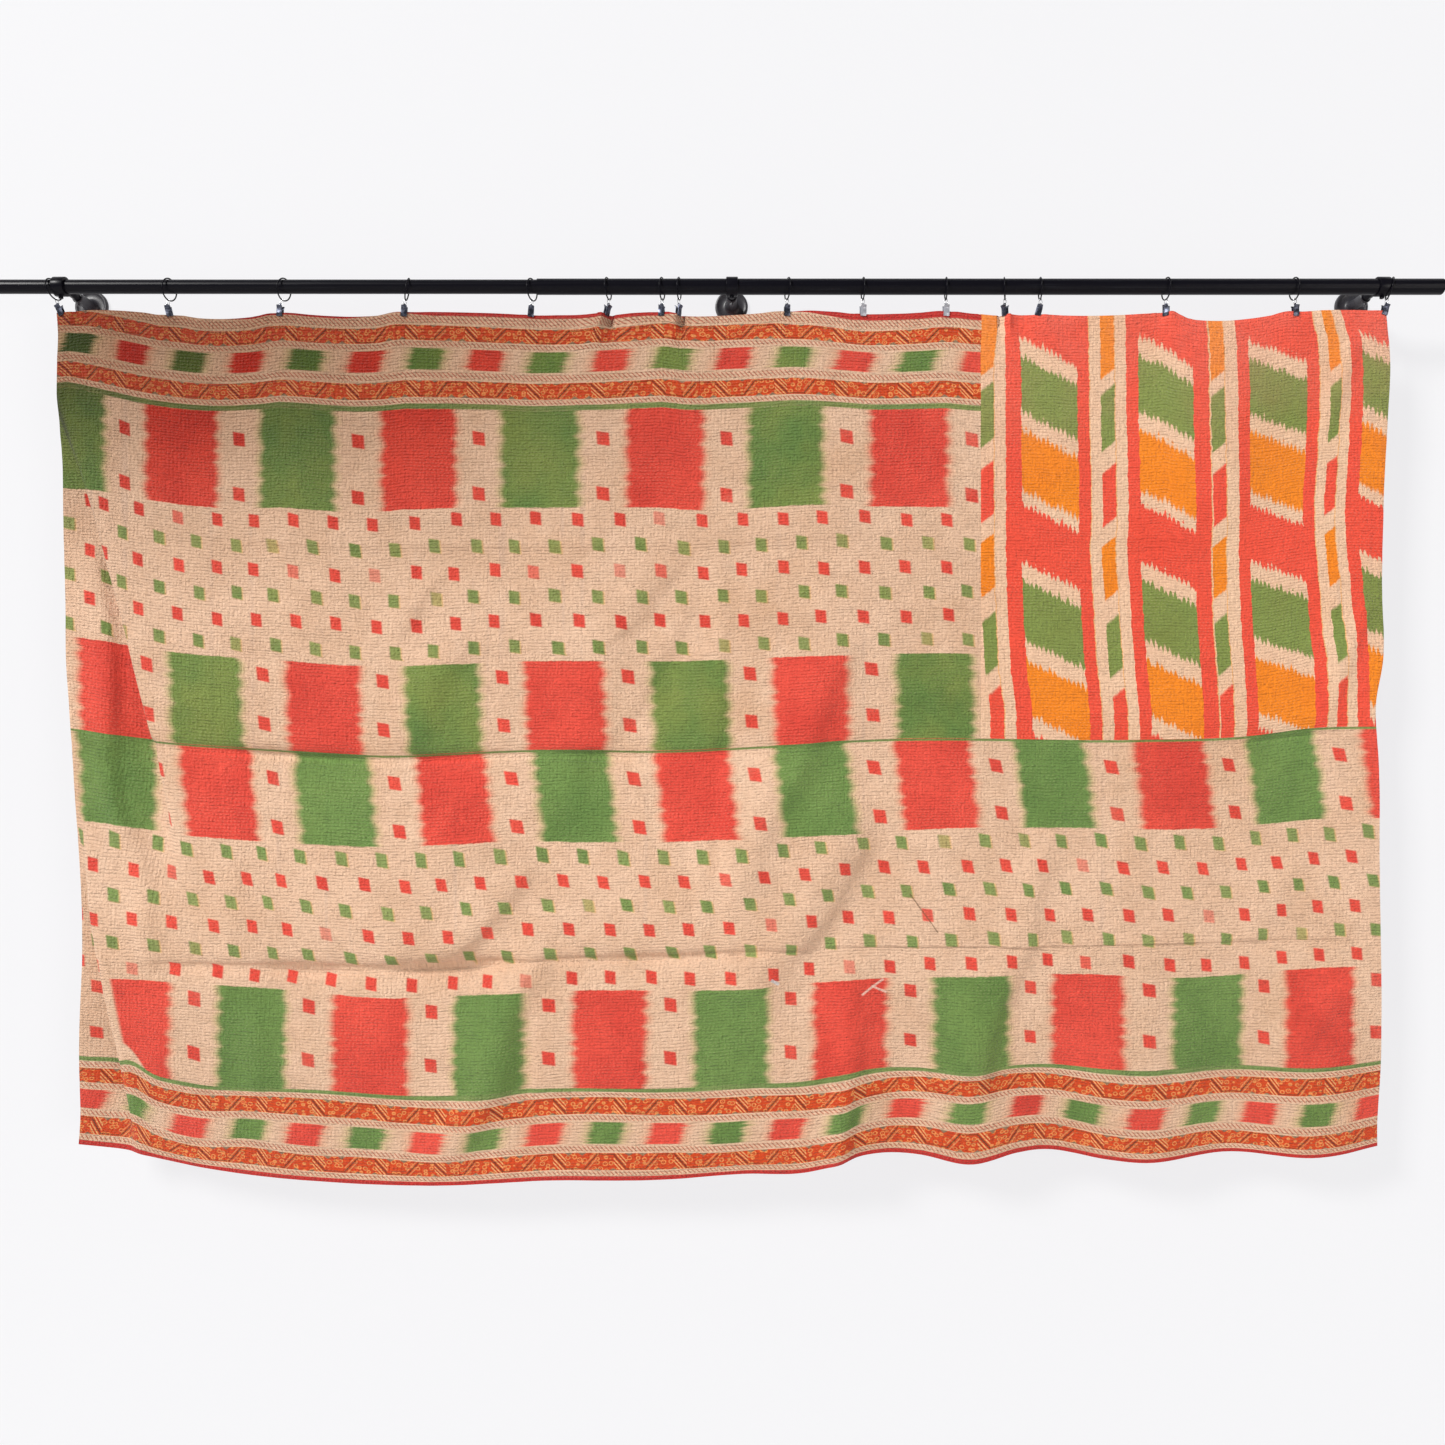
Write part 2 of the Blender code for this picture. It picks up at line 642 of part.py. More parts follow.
def forward(x, z):
    """How far the sheet stands in front of the rod's own plane, away from pleats and clips."""
    hung = eased((-0.04 - z) / 0.25)
    rise = SWELL * hung * np.sin(2.0 * math.pi * x / SWELL_LENGTH + SWELL_PHASE)
    for fold in FOLDS:
        rise = rise + fold_rise(fold, x, z)
    for pressed in PRESSED:
        rise = rise - pressed_dip(pressed, x, z)
    reach = eased((x - RIPPLE_FROM_X) / 0.15) * eased((RIPPLE_TOP - z) / 0.34)
    return rise + RIPPLE_DEPTH * reach * np.cos(2.0 * math.pi * (x - RIPPLE_CREST_X) / RIPPLE_LENGTH)


def nip_half(hanger):
    """Half the width of cloth that a clip holds flat."""
    return NIP_HALF + NIP_HEIGHT * abs(math.sin(math.radians(hanger.lean)))


def nip_spans():
    """Where each clip's bite begins and ends along X."""
    return [(jaw_tip(h).x - nip_half(h), jaw_tip(h).x + nip_half(h)) for h in HANGERS]


def nip_reach(number):
    """How far beyond a clip's bite it draws the cloth, to its left and right.

    The reach ends at the neighbour's bite where that is nearer.
    """
    spans = nip_spans()
    low, high = spans[number]
    before = low - spans[number - 1][1] if number > 0 else NIP_BLEND
    after = spans[number + 1][0] - high if number + 1 < len(spans) else NIP_BLEND
    return min(NIP_BLEND, before), min(NIP_BLEND, after)


def clip_planes():
    """For each clip: its jaw's tip, the cloth's place there, the plane of its slot, its reach."""
    planes = []
    for number, hanger in enumerate(HANGERS):
        frame = clip_frame(hanger).to_3x3()
        normal = frame @ Vector((0.0, 1.0, 0.0))
        up = (Vector((0.0, 0.0, 1.0)) - normal.z * normal).normalized()
        across = normal.cross(up) * -1.0
        if across.x < 0.0:
            across = -across
        tip = jaw_tip(hanger)
        bite = (hanger.edge - tip.z) / up.z
        planes.append((tip, bite, across, up, nip_half(hanger), nip_reach(number)))
    return planes


def sheet(flat_x, down):
    """Places points of the flat quilt, at flat_x across and `down` below its top edge.

    The four lines across the quilt set the height, the pleats draw cloth in and set what is
    left of them back, the folds set the depth, and each clip holds its bite in a plane.
    """
    drop = -0.04 - down
    x = flat_x.copy()
    for pleat in PLEATS:
        share, _, _ = pleat_share(pleat, flat_x, drop)
        x = x + pleat.take_up * share
    rows = np.stack([top_edge(x), line_height(SEAM_LINE, x), line_height(CREASE_LINE, x), line_height(HEM_LINE, x)])
    z = through([0.0, SEAM, CREASE, HEM], rows.reshape(4, -1), down.reshape(-1)).reshape(x.shape)
    y = -ROD_OUT - forward(x, z)
    for pleat in PLEATS:
        share, formed, beside = pleat_share(pleat, flat_x, drop)
        groove = np.exp(-(((beside + GROOVE_AT) / GROOVE_WIDTH) ** 2))
        y = y + pleat.recess * share + pleat.groove * formed * groove
    for tip, bite, across, up, half, (before, after) in clip_planes():
        aside = flat_x - tip.x
        reach = np.where(aside < 0.0, before, after)
        held = 1.0 - eased((np.abs(aside) - half) / reach)
        held = held * (1.0 - eased((down - NIP_HEIGHT) / NIP_FADE))
        rise = bite - down
        x = x + held * (tip.x + aside * across.x + rise * up.x - x)
        y = y + held * (tip.y + aside * across.y + rise * up.y - y)
        z = z + held * (tip.z + aside * across.z + rise * up.z - z)
    return x, y, z


def side_places(down):
    """Where the flat sheet's two side edges lie, from where they hang and what is taken up."""
    z = -0.04 - down
    heights = [-side.z for side in SIDES]
    left = through(heights, [side.left for side in SIDES], -z)
    right = through(heights, [side.right for side in SIDES], -z)
    flat_left = left.copy()
    for _ in range(6):
        taken = sum(pleat.take_up * pleat_share(pleat, flat_left, z)[0] for pleat in PLEATS)
        flat_left = left - taken
    return flat_left, right


def column_places():
    """Places of the grid's columns at the top edge: close at the clips and over the pleats."""
    left, right = side_places(np.array([0.0]))
    places = {round(float(left[0]), 5), round(float(right[0]), 5)}
    spans = nip_spans()
    for span in spans:
        places |= {round(end, 5) for end in span}
    places |= {round(float(p), 5) for p in np.arange(PLEAT_FROM, PLEAT_TO, PLEAT_STEP)}
    places = sorted(p for p in places if left[0] <= p <= right[0])
    kept = [places[0]]
    for place in places[1:]:
        crowded = place - kept[-1] < 0.0035
        inside = any(low + 1e-4 < place < high - 1e-4 for low, high in spans)
        if inside or (crowded and place != places[-1]):
            continue
        pieces = max(1, round((place - kept[-1]) / COLUMN_STEP))
        kept += [kept[-1] + (place - kept[-1]) * i / pieces for i in range(1, pieces)]
        kept.append(place)
    return np.array(kept)


def row_places():
    """Distances below the top edge: close at the clips' bite and at the pressed creases."""
    upper = [0.0, NIP_HEIGHT, 0.034, 0.075]
    upper += list(np.linspace(0.130, SEAM - 0.045, 10))
    middle = [SEAM, SEAM + 0.014, SEAM + 0.045]
    middle += list(np.linspace(SEAM + 0.100, CREASE - 0.028, 5))
    lower = [CREASE, CREASE + 0.026]
    lower += list(np.linspace(CREASE + 0.075, HEM, 7))
    return np.array(upper + middle + lower)


def make_quilt(cotton):
    """The sheet's middle surface on a grid, thickened half way to each side along its normals."""
    columns, rows = column_places(), row_places()
    left, right = side_places(rows)
    share_left = np.clip(1.0 - (columns - columns[0]) / 0.35, 0.0, 1.0) ** 2
    share_right = np.clip(1.0 - (columns[-1] - columns) / 0.35, 0.0, 1.0) ** 2
    flat_x = columns[None, :] + (left - left[0])[:, None] * share_left + (right - right[0])[:, None] * share_right
    down = np.repeat(rows[:, None], len(columns), axis=1)
    small = 0.0005

    def placed(across, below):
        return np.stack(sheet(flat_x + across, np.clip(down + below, 0.0, HEM)), axis=-1)

    middle = placed(0.0, 0.0)
    normal = np.cross(placed(small, 0.0) - placed(-small, 0.0), placed(0.0, -small) - placed(0.0, small))
    normal /= np.linalg.norm(normal, axis=-1, keepdims=True)
    front = (middle + normal * CLOTH / 2.0).reshape(-1, 3)
    back = (middle - normal * CLOTH / 2.0).reshape(-1, 3)
    high, wide = flat_x.shape
    index = np.arange(high * wide).reshape(high, wide)
    # Both faces are split along the same diagonals, so they stay parallel where the sheet twists.
    corners = [index[:-1, :-1], index[1:, :-1], index[1:, 1:], index[:-1, 1:]]
    upper = np.stack([corners[0], corners[2], corners[3]], axis=-1).reshape(-1, 3)
    lower = np.stack([corners[0], corners[1], corners[2]], axis=-1).reshape(-1, 3)
    shown = np.concatenate([upper, lower])
    count = high * wide
    rim = np.concatenate([index[0, :], index[1:, -1], index[-1, -2::-1], index[-2:0:-1, 0]])
    after = np.roll(rim, -1)
    rim_quads = np.stack([rim, after, after + count, rim + count], axis=-1)
    points = np.concatenate([front, back])
    faces = shown.tolist() + (shown[:, ::-1] + count).tolist() + rim_quads.tolist()
    mesh = mesh_of("quilt", points.tolist(), faces)
    add_object("quilt", mesh, cotton, 60)


clear_scene()
black = finish_material("black_enamel", (0.020, 0.019, 0.022), 0.38, 0.60)
silver = finish_material("bright_wire", (0.62, 0.62, 0.64), 0.28, 1.0)
gunmetal = finish_material("clip_steel", (0.22, 0.22, 0.25), 0.36, 0.9)
cotton = finish_material("printed_cotton", (0.71, 0.49, 0.33), 0.88, 0.0)

make_rod(black)
for side, x in BRACKETS.items():
    make_bracket(side, x, black)
make_rings(black)
make_links(silver)
make_clips(gunmetal)
make_quilt(cotton)
bpy.context.view_layer.update()
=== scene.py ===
"""A kantha quilt hung by sixteen clip rings from a black telescopic rod on three wall brackets.

Metres, +Z up. The wall is the plane Y = 0, the viewer stands on the -Y side and +X runs to the
viewer's right. The file follows the object as it is put up: room, rod, brackets, rings, clips,
and then the quilt with its cloth, print and stitching.
"""

import math
from collections import namedtuple

import bmesh
import bpy
import numpy as np
from mathutils import Matrix, Vector


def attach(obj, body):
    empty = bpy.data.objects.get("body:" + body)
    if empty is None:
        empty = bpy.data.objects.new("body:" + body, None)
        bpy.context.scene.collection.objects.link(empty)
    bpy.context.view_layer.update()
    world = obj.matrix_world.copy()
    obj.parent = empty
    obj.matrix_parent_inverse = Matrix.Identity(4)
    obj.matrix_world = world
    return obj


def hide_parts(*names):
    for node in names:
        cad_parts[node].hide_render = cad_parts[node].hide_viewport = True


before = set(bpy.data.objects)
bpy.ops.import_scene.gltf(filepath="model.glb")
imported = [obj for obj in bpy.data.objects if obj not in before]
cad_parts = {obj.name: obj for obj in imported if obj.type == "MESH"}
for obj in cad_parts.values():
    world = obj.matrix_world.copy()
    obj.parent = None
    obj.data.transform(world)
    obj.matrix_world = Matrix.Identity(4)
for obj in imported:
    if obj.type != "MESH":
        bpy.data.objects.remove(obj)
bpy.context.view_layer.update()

# The view: straight on and level, 1.9 m in front of the rod, its middle about half way down
# the quilt. The square frame is 2.361 m wide at the rod.
ROD_OUT = 0.0953
CAMERA_AWAY = 1.900
FRAME_HALF = 1.1806
FRAME_MIDDLE_X = -0.0155
FRAME_MIDDLE_Z = -0.7120

camera_data = bpy.data.cameras.new("camera")
camera_data.sensor_width = 36.0
camera_data.lens = 18.0 / FRAME_HALF * CAMERA_AWAY
camera = bpy.data.objects.new("camera", camera_data)
camera.location = (FRAME_MIDDLE_X, -ROD_OUT - CAMERA_AWAY, FRAME_MIDDLE_Z)
camera.rotation_euler = (math.radians(90.0), 0.0, 0.0)
bpy.context.scene.collection.objects.link(camera)
bpy.context.scene.camera = camera


# The room: a pale matt wall that the brackets are fixed to, a pale floor, and soft light from
# the upper left with a weaker, warmer one from the right. The wall shows from its front alone,
# and glows a little, so that the shadows on it stay faint.
WALL_COLOUR = (0.120, 0.120, 0.122)
WALL_GLOW = (0.755, 0.755, 0.772)
FLOOR_COLOUR = (0.80, 0.79, 0.77)
FLOOR_HEIGHT = -2.15
WALL_BEHIND = 0.0004
SKY_COLOUR = (0.95, 0.97, 1.0)
SKY_STRENGTH = 0.13


def plain_material(name, colour, roughness, metallic=0.0):
    """A Principled material of one colour, with its node tree and its shader."""
    material = bpy.data.materials.new(name)
    material.use_nodes = True
    tree = material.node_tree
    shader = tree.nodes["Principled BSDF"]
    shader.inputs["Base Color"].default_value = (*colour, 1.0)
    shader.inputs["Roughness"].default_value = roughness
    shader.inputs["Metallic"].default_value = metallic
    return material, tree, shader


def flat_sheet(name, corners, material):
    """A four-cornered surface of the room."""
    mesh = bpy.data.meshes.new(name)
    mesh.from_pydata(corners, [], [(0, 1, 2, 3)])
    mesh.materials.append(material)
    surface = bpy.data.objects.new(name, mesh)
    bpy.context.scene.collection.objects.link(surface)


def lamp(name, place, aim, size, watts, colour):
    """A square area light of the given width, turned from its place towards its aim."""
    data = bpy.data.lights.new(name, "AREA")
    data.shape = "SQUARE"
    data.size = size
    data.energy = watts
    data.color = colour
    light = bpy.data.objects.new(name, data)
    light.location = place
    light.rotation_euler = (Vector(aim) - Vector(place)).to_track_quat("-Z", "Y").to_euler()
    bpy.context.scene.collection.objects.link(light)


wall_paint, wall_tree, wall_shader = plain_material("wall_paint", WALL_COLOUR, 0.95)
wall_shader.inputs["Emission Color"].default_value = (*WALL_GLOW, 1.0)
wall_shader.inputs["Emission Strength"].default_value = 1.0
see_through = wall_tree.nodes.new("ShaderNodeBsdfTransparent")
facing = wall_tree.nodes.new("ShaderNodeNewGeometry")
front_only = wall_tree.nodes.new("ShaderNodeMixShader")
wall_tree.links.new(facing.outputs["Backfacing"], front_only.inputs["Fac"])
wall_tree.links.new(wall_shader.outputs["BSDF"], front_only.inputs[1])
wall_tree.links.new(see_through.outputs["BSDF"], front_only.inputs[2])
wall_output = wall_tree.nodes["Material Output"]
wall_tree.links.new(front_only.outputs["Shader"], wall_output.inputs["Surface"])
floor_paint, _, _ = plain_material("floor_paint", FLOOR_COLOUR, 0.9)

flat_sheet(
    "wall",
    [
        (-4.0, WALL_BEHIND, FLOOR_HEIGHT), (4.0, WALL_BEHIND, FLOOR_HEIGHT),
        (4.0, WALL_BEHIND, 2.5), (-4.0, WALL_BEHIND, 2.5),
    ],
    wall_paint,
)
flat_sheet(
    "floor",
    [
        (-5.0, -6.0, FLOOR_HEIGHT), (5.0, -6.0, FLOOR_HEIGHT),
        (5.0, 4.0, FLOOR_HEIGHT), (-5.0, 4.0, FLOOR_HEIGHT),
    ],
    floor_paint,
)
lamp("key_light", (-9.3, -9.0, 7.9), (0.1, 0.0, -0.75), 3.2, 2760.0, (1.0, 0.99, 0.97))
lamp("fill_light", (5.6, -6.2, -0.9), (0.4, 0.0, -0.9), 3.0, 215.0, (1.0, 0.95, 0.90))

world = bpy.data.worlds.new("studio")
world.use_nodes = True
sky = world.node_tree.nodes["Background"]
sky.inputs["Color"].default_value = (*SKY_COLOUR, 1.0)
sky.inputs["Strength"].default_value = SKY_STRENGTH
bpy.context.scene.world = world
bpy.context.scene.view_settings.view_transform = "Standard"


# The rod: a thin steel tube that slides in a thick one, black enamelled, with plain plugs.
# Rings dragged along it have left faint rubbed streaks that run lengthwise.
THICK_RADIUS = 0.0127
THIN_RADIUS = 0.0112
ROD_JOIN = -0.3178
ENAMEL_COLOUR = (0.0045, 0.0042, 0.0070)
ENAMEL_RUBBED = (0.010, 0.010, 0.014)


class Reading:
    """A number worked out at each point of a surface. Sums with it add Math nodes to a tree."""

    def __init__(self, tree, socket):
        self.tree = tree
        self.socket = socket

    def sum(self, operation, *others):
        node = self.tree.nodes.new("ShaderNodeMath")
        node.operation = operation
        for number, term in enumerate((self,) + others):
            if isinstance(term, Reading):
                self.tree.links.new(term.socket, node.inputs[number])
            else:
                node.inputs[number].default_value = term
        return Reading(self.tree, node.outputs[0])

    def __add__(self, other):
        return self.sum("ADD", other)

    def __sub__(self, other):
        return self.sum("SUBTRACT", other)

    def __mul__(self, other):
        return self.sum("MULTIPLY", other)

    def __truediv__(self, other):
        return self.sum("DIVIDE", other)

    def __neg__(self):
        return self.sum("MULTIPLY", -1.0)

    def over(self, limit):
        return self.sum("GREATER_THAN", limit)

    def under(self, limit):
        return self.sum("LESS_THAN", limit)

    def rising(self, start, end):
        """0 below start, 1 above end and smooth between; it falls where end is the lower."""
        node = self.tree.nodes.new("ShaderNodeMapRange")
        node.interpolation_type = "SMOOTHSTEP"
        low, high = (start, end) if start < end else (end, start)
        node.inputs["From Min"].default_value = low
        node.inputs["From Max"].default_value = high
        node.inputs["To Min"].default_value = 0.0 if start < end else 1.0
        node.inputs["To Max"].default_value = 1.0 if start < end else 0.0
        self.tree.links.new(self.socket, node.inputs["Value"])
        return Reading(self.tree, node.outputs["Result"])


def together(tree, x=0.0, y=0.0, z=0.0):
    """Three readings or numbers as one place."""
    node = tree.nodes.new("ShaderNodeCombineXYZ")
    for number, term in enumerate((x, y, z)):
        if isinstance(term, Reading):
            tree.links.new(term.socket, node.inputs[number])
        else:
            node.inputs[number].default_value = term
    return node.outputs[0]


def apart(tree, socket):
    """The three numbers of a place as readings."""
    node = tree.nodes.new("ShaderNodeSeparateXYZ")
    tree.links.new(socket, node.inputs[0])
    return [Reading(tree, output) for output in node.outputs]


def noise(tree, place, scale, detail=2.0, rough=0.5):
    """Soft noise, about 0.5 on average, at a place or at three readings or numbers."""
    if isinstance(place, tuple):
        place = together(tree, *place)
    node = tree.nodes.new("ShaderNodeTexNoise")
    node.inputs["Scale"].default_value = scale
    node.inputs["Detail"].default_value = detail
    node.inputs["Roughness"].default_value = rough
    tree.links.new(place, node.inputs["Vector"])
    return Reading(tree, node.outputs["Fac"])


def painted(tree, share, under, over):
    """The colour `under` with the colour `over` laid on it in the given share."""
    node = tree.nodes.new("ShaderNodeMix")
    node.data_type = "RGBA"
    for socket, term in ((node.inputs[6], under), (node.inputs[7], over)):
        if isinstance(term, tuple):
            socket.default_value = (*term, 1.0)
        else:
            tree.links.new(term, socket)
    tree.links.new(share.socket, node.inputs[0])
    return node.outputs[2]


def raised(tree, shader, height, distance, strength=1.0):
    """Gives a shader a bump from a height reading, `distance` metres for each unit of it."""
    node = tree.nodes.new("ShaderNodeBump")
    node.inputs["Strength"].default_value = strength
    node.inputs["Distance"].default_value = distance
    tree.links.new(height.socket, node.inputs["Height"])
    tree.links.new(node.outputs["Normal"], shader.inputs["Normal"])


def object_place(tree):
    """Object coordinates, which on these pieces are metres in the shared frame."""
    return tree.nodes.new("ShaderNodeTexCoord").outputs["Object"]


enamel, enamel_tree, enamel_shader = plain_material("black_enamel", ENAMEL_COLOUR, 0.34)
enamel_place = object_place(enamel_tree)
along, out, up = apart(enamel_tree, enamel_place)
rub = noise(enamel_tree, (along * 9.0, out * 520.0, up * 520.0), 1.0, 3.0)
rubbed = rub.rising(0.58, 0.74)
enamel_colour = painted(enamel_tree, rubbed, ENAMEL_COLOUR, ENAMEL_RUBBED)
enamel_tree.links.new(enamel_colour, enamel_shader.inputs["Base Color"])
enamel_tree.links.new((rub * 0.16 + 0.22).socket, enamel_shader.inputs["Roughness"])
enamel_shader.inputs["Specular IOR Level"].default_value = 0.10
raised(enamel_tree, enamel_shader, noise(enamel_tree, enamel_place, 900.0, 2.0), 0.00012, 0.35)


def finish_node(name, material):
    """Gives a carried-over CAD node a material in place of its plain one."""
    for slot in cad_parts[name].material_slots:
        slot.material = material


for name in ("rod_thick", "rod_thin", "rod_cap_left", "rod_cap_right"):
    finish_node(name, enamel)


# The brackets: a cast flange with a raised rim and a hub on the wall, and a turned arm that is
# held in the hub by a set screw and ends in a collar round the rod, with a set screw below.
BRACKETS = {"left": -1.0965, "centre": 0.0, "right": 1.0620}
FLANGE_RADIUS = 0.0280
FLANGE_THICK = 0.0055
HUB_RADIUS = 0.0088
HUB_LENGTH = 0.0480
ARM_RADIUS = 0.0062
COLLAR_RADIUS = 0.0155
COLLAR_WIDTH = 0.0190
BOSS_RADIUS = 0.0036
BOSS_DROP = 0.0195
SCREW_RADIUS = 0.0034
SCREW_DROP = 0.0130
SCREW_FROM_WALL = 0.0440
ENAMEL_CAST = (0.034, 0.033, 0.040)


def add_piece(name, points, faces, material, node, slot="black_enamel", smooth=40.0):
    """A mesh object of the points and faces, with its doubles merged and its faces outward.

    Edges sharper than `smooth` degrees stay sharp. It takes the place of the CAD node `node`.
    """
    mesh = bpy.data.meshes.new(name)
    mesh.from_pydata(np.asarray(points).reshape(-1, 3).tolist(), [], np.asarray(faces).tolist())
    mesh.materials.append(material)
    shape = bmesh.new()
    shape.from_mesh(mesh)
    bmesh.ops.remove_doubles(shape, verts=shape.verts, dist=1e-6)
    bmesh.ops.recalc_face_normals(shape, faces=shape.faces)
    shape.to_mesh(mesh)
    shape.free()
    mesh.shade_smooth()
    if smooth:
        mesh.set_sharp_from_angle(angle=math.radians(smooth))
    made = bpy.data.objects.new(name, mesh)
    bpy.context.scene.collection.objects.link(made)
    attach(made, "root")
    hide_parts(node)


def grid_faces(rows, columns, round_rows=False, round_columns=False):
    """Quads of a grid of points, row after row, joined round where the grid closes on itself."""
    index = np.arange(rows * columns).reshape(rows, columns)
    if round_rows:
        index = np.concatenate([index, index[:1]], axis=0)
    if round_columns:
        index = np.concatenate([index, index[:, :1]], axis=1)
    corners = [index[:-1, :-1], index[1:, :-1], index[1:, 1:], index[:-1, 1:]]
    return np.stack(corners, axis=-1).reshape(-1, 4)


def placed(points, matrix):
    """Points moved by a 4 x 4 matrix."""
    turn = np.array(matrix.to_3x3())
    return np.asarray(points).reshape(-1, 3) @ turn.T + np.array(matrix.translation)


def turned(outline, matrix, steps=48):
    """A closed outline of (radius, height) carried round local Z: x = r cos a, y = r sin a."""
    radius, height = np.array(outline).T
    angle = np.linspace(0.0, 2.0 * math.pi, steps, endpoint=False)
    x = radius[:, None] * np.cos(angle)
    y = radius[:, None] * np.sin(angle)
    z = np.repeat(height[:, None], steps, axis=1)
    points = placed(np.stack([x, y, z], axis=-1), matrix)
    return points, grid_faces(len(outline), steps, True, True)


def joined(*shapes):
    """Several (points, faces) as one."""
    points, faces, count = [], [], 0
    for shape_points, shape_faces in shapes:
        shape_points = np.asarray(shape_points).reshape(-1, 3)
        points.append(shape_points)
        faces.append(np.asarray(shape_faces) + count)
        count += len(shape_points)
    return np.concatenate(points), np.concatenate(faces)


def from_wall(x, start=0.0):
    """Turns local Z to -Y, out of the wall, and moves to x."""
    return Matrix.Translation((x, -start, 0.0)) @ Matrix.Rotation(math.pi / 2.0, 4, "X")


def along_rod(x):
    """Turns local Z to +X and moves to x on the rod's axis."""
    return Matrix.Translation((x, -ROD_OUT, 0.0)) @ Matrix.Rotation(math.pi / 2.0, 4, "Y")


def hanging(x, away):
    """Turns local Z down and moves to x, `away` from the wall, on the rod's level."""
    return Matrix.Translation((x, -away, 0.0)) @ Matrix.Rotation(math.pi, 4, "X")


cast, cast_tree, cast_shader = plain_material("cast_enamel", ENAMEL_CAST, 0.42)
cast_place = object_place(cast_tree)
grit = noise(cast_tree, cast_place, 420.0, 4.0, 0.6)
cast_colour = painted(cast_tree, grit.rising(0.45, 0.75), ENAMEL_CAST, ENAMEL_RUBBED)
cast_tree.links.new(cast_colour, cast_shader.inputs["Base Color"])
cast_tree.links.new((grit * 0.25 + 0.30).socket, cast_shader.inputs["Roughness"])
raised(cast_tree, cast_shader, grit, 0.00025, 0.5)

for side, x in BRACKETS.items():
    rim = FLANGE_RADIUS
    flange_outline = [
        (0.0, 0.0), (rim, 0.0), (rim, 0.0034), (rim - 0.0006, 0.0048), (rim - 0.0020, FLANGE_THICK),
        (rim - 0.0042, FLANGE_THICK), (rim - 0.0054, 0.0046), (rim - 0.0068, 0.0040),
        (HUB_RADIUS + 0.0052, 0.0043), (HUB_RADIUS + 0.0022, 0.0056), (HUB_RADIUS + 0.0006, 0.0084),
        (HUB_RADIUS, 0.0120), (HUB_RADIUS, HUB_LENGTH - 0.0010), (HUB_RADIUS - 0.0010, HUB_LENGTH),
        (ARM_RADIUS + 0.0004, HUB_LENGTH), (ARM_RADIUS + 0.0003, HUB_LENGTH - 0.0012),
        (0.0, HUB_LENGTH - 0.0012),
    ]
    screw_outline = [
        (0.0, HUB_RADIUS - 0.001), (SCREW_RADIUS, HUB_RADIUS - 0.001),
        (SCREW_RADIUS, SCREW_DROP - 0.0006), (SCREW_RADIUS - 0.0006, SCREW_DROP),
        (0.0011, SCREW_DROP), (0.0011, SCREW_DROP - 0.0015), (0.0, SCREW_DROP - 0.0015),
    ]
    flange = joined(
        turned(flange_outline, from_wall(x), 72),
        turned(screw_outline, hanging(x, SCREW_FROM_WALL), 24),
    )
    add_piece(f"bracket_flange_{side}", *flange, cast, f"flange_{side}")

    bore = (THIN_RADIUS if side == "left" else THICK_RADIUS) + 0.0003
    half = COLLAR_WIDTH / 2.0
    collar_outline = [
        (bore, -half), (COLLAR_RADIUS - 0.0009, -half), (COLLAR_RADIUS - 0.0002, -half + 0.0003),
        (COLLAR_RADIUS, -half + 0.0010), (COLLAR_RADIUS, half - 0.0010),
        (COLLAR_RADIUS - 0.0002, half - 0.0003), (COLLAR_RADIUS - 0.0009, half), (bore, half),
    ]
    stem_outline = [
        (0.0, HUB_LENGTH - 0.020), (ARM_RADIUS, HUB_LENGTH - 0.020), (ARM_RADIUS, ROD_OUT - 0.0180),
        (ARM_RADIUS + 0.0016, ROD_OUT - 0.0150), (ARM_RADIUS + 0.0016, ROD_OUT - bore - 0.0004),
        (0.0, ROD_OUT - bore - 0.0004),
    ]
    boss_outline = [
        (0.0, bore + 0.0004), (BOSS_RADIUS, bore + 0.0004), (BOSS_RADIUS, BOSS_DROP - 0.0007),
        (BOSS_RADIUS - 0.0007, BOSS_DROP), (0.0012, BOSS_DROP), (0.0012, BOSS_DROP - 0.0016),
        (0.0, BOSS_DROP - 0.0016),
    ]
    arm = joined(
        turned(collar_outline, along_rod(x), 72),
        turned(stem_outline, from_wall(x), 40),
        turned(boss_outline, hanging(x, ROD_OUT), 24),
    )
    add_piece(f"bracket_arm_{side}", *arm, enamel, f"arm_{side}")


# The rings: black enamelled steel wire bent round and butted, hung over the rod, each leaning
# as its clip draws it. From each hangs a small loop of bright wire.
RING_RADIUS = 0.0174
RING_WIRE = 0.0011
LINK_WIRE = 0.00045
LINK_LENGTH = 0.0079
LINK_FOOT = 0.0025
EYE_RADIUS = 0.0013
GAP = 0.0003
WIRE_COLOUR = (0.66, 0.66, 0.68)

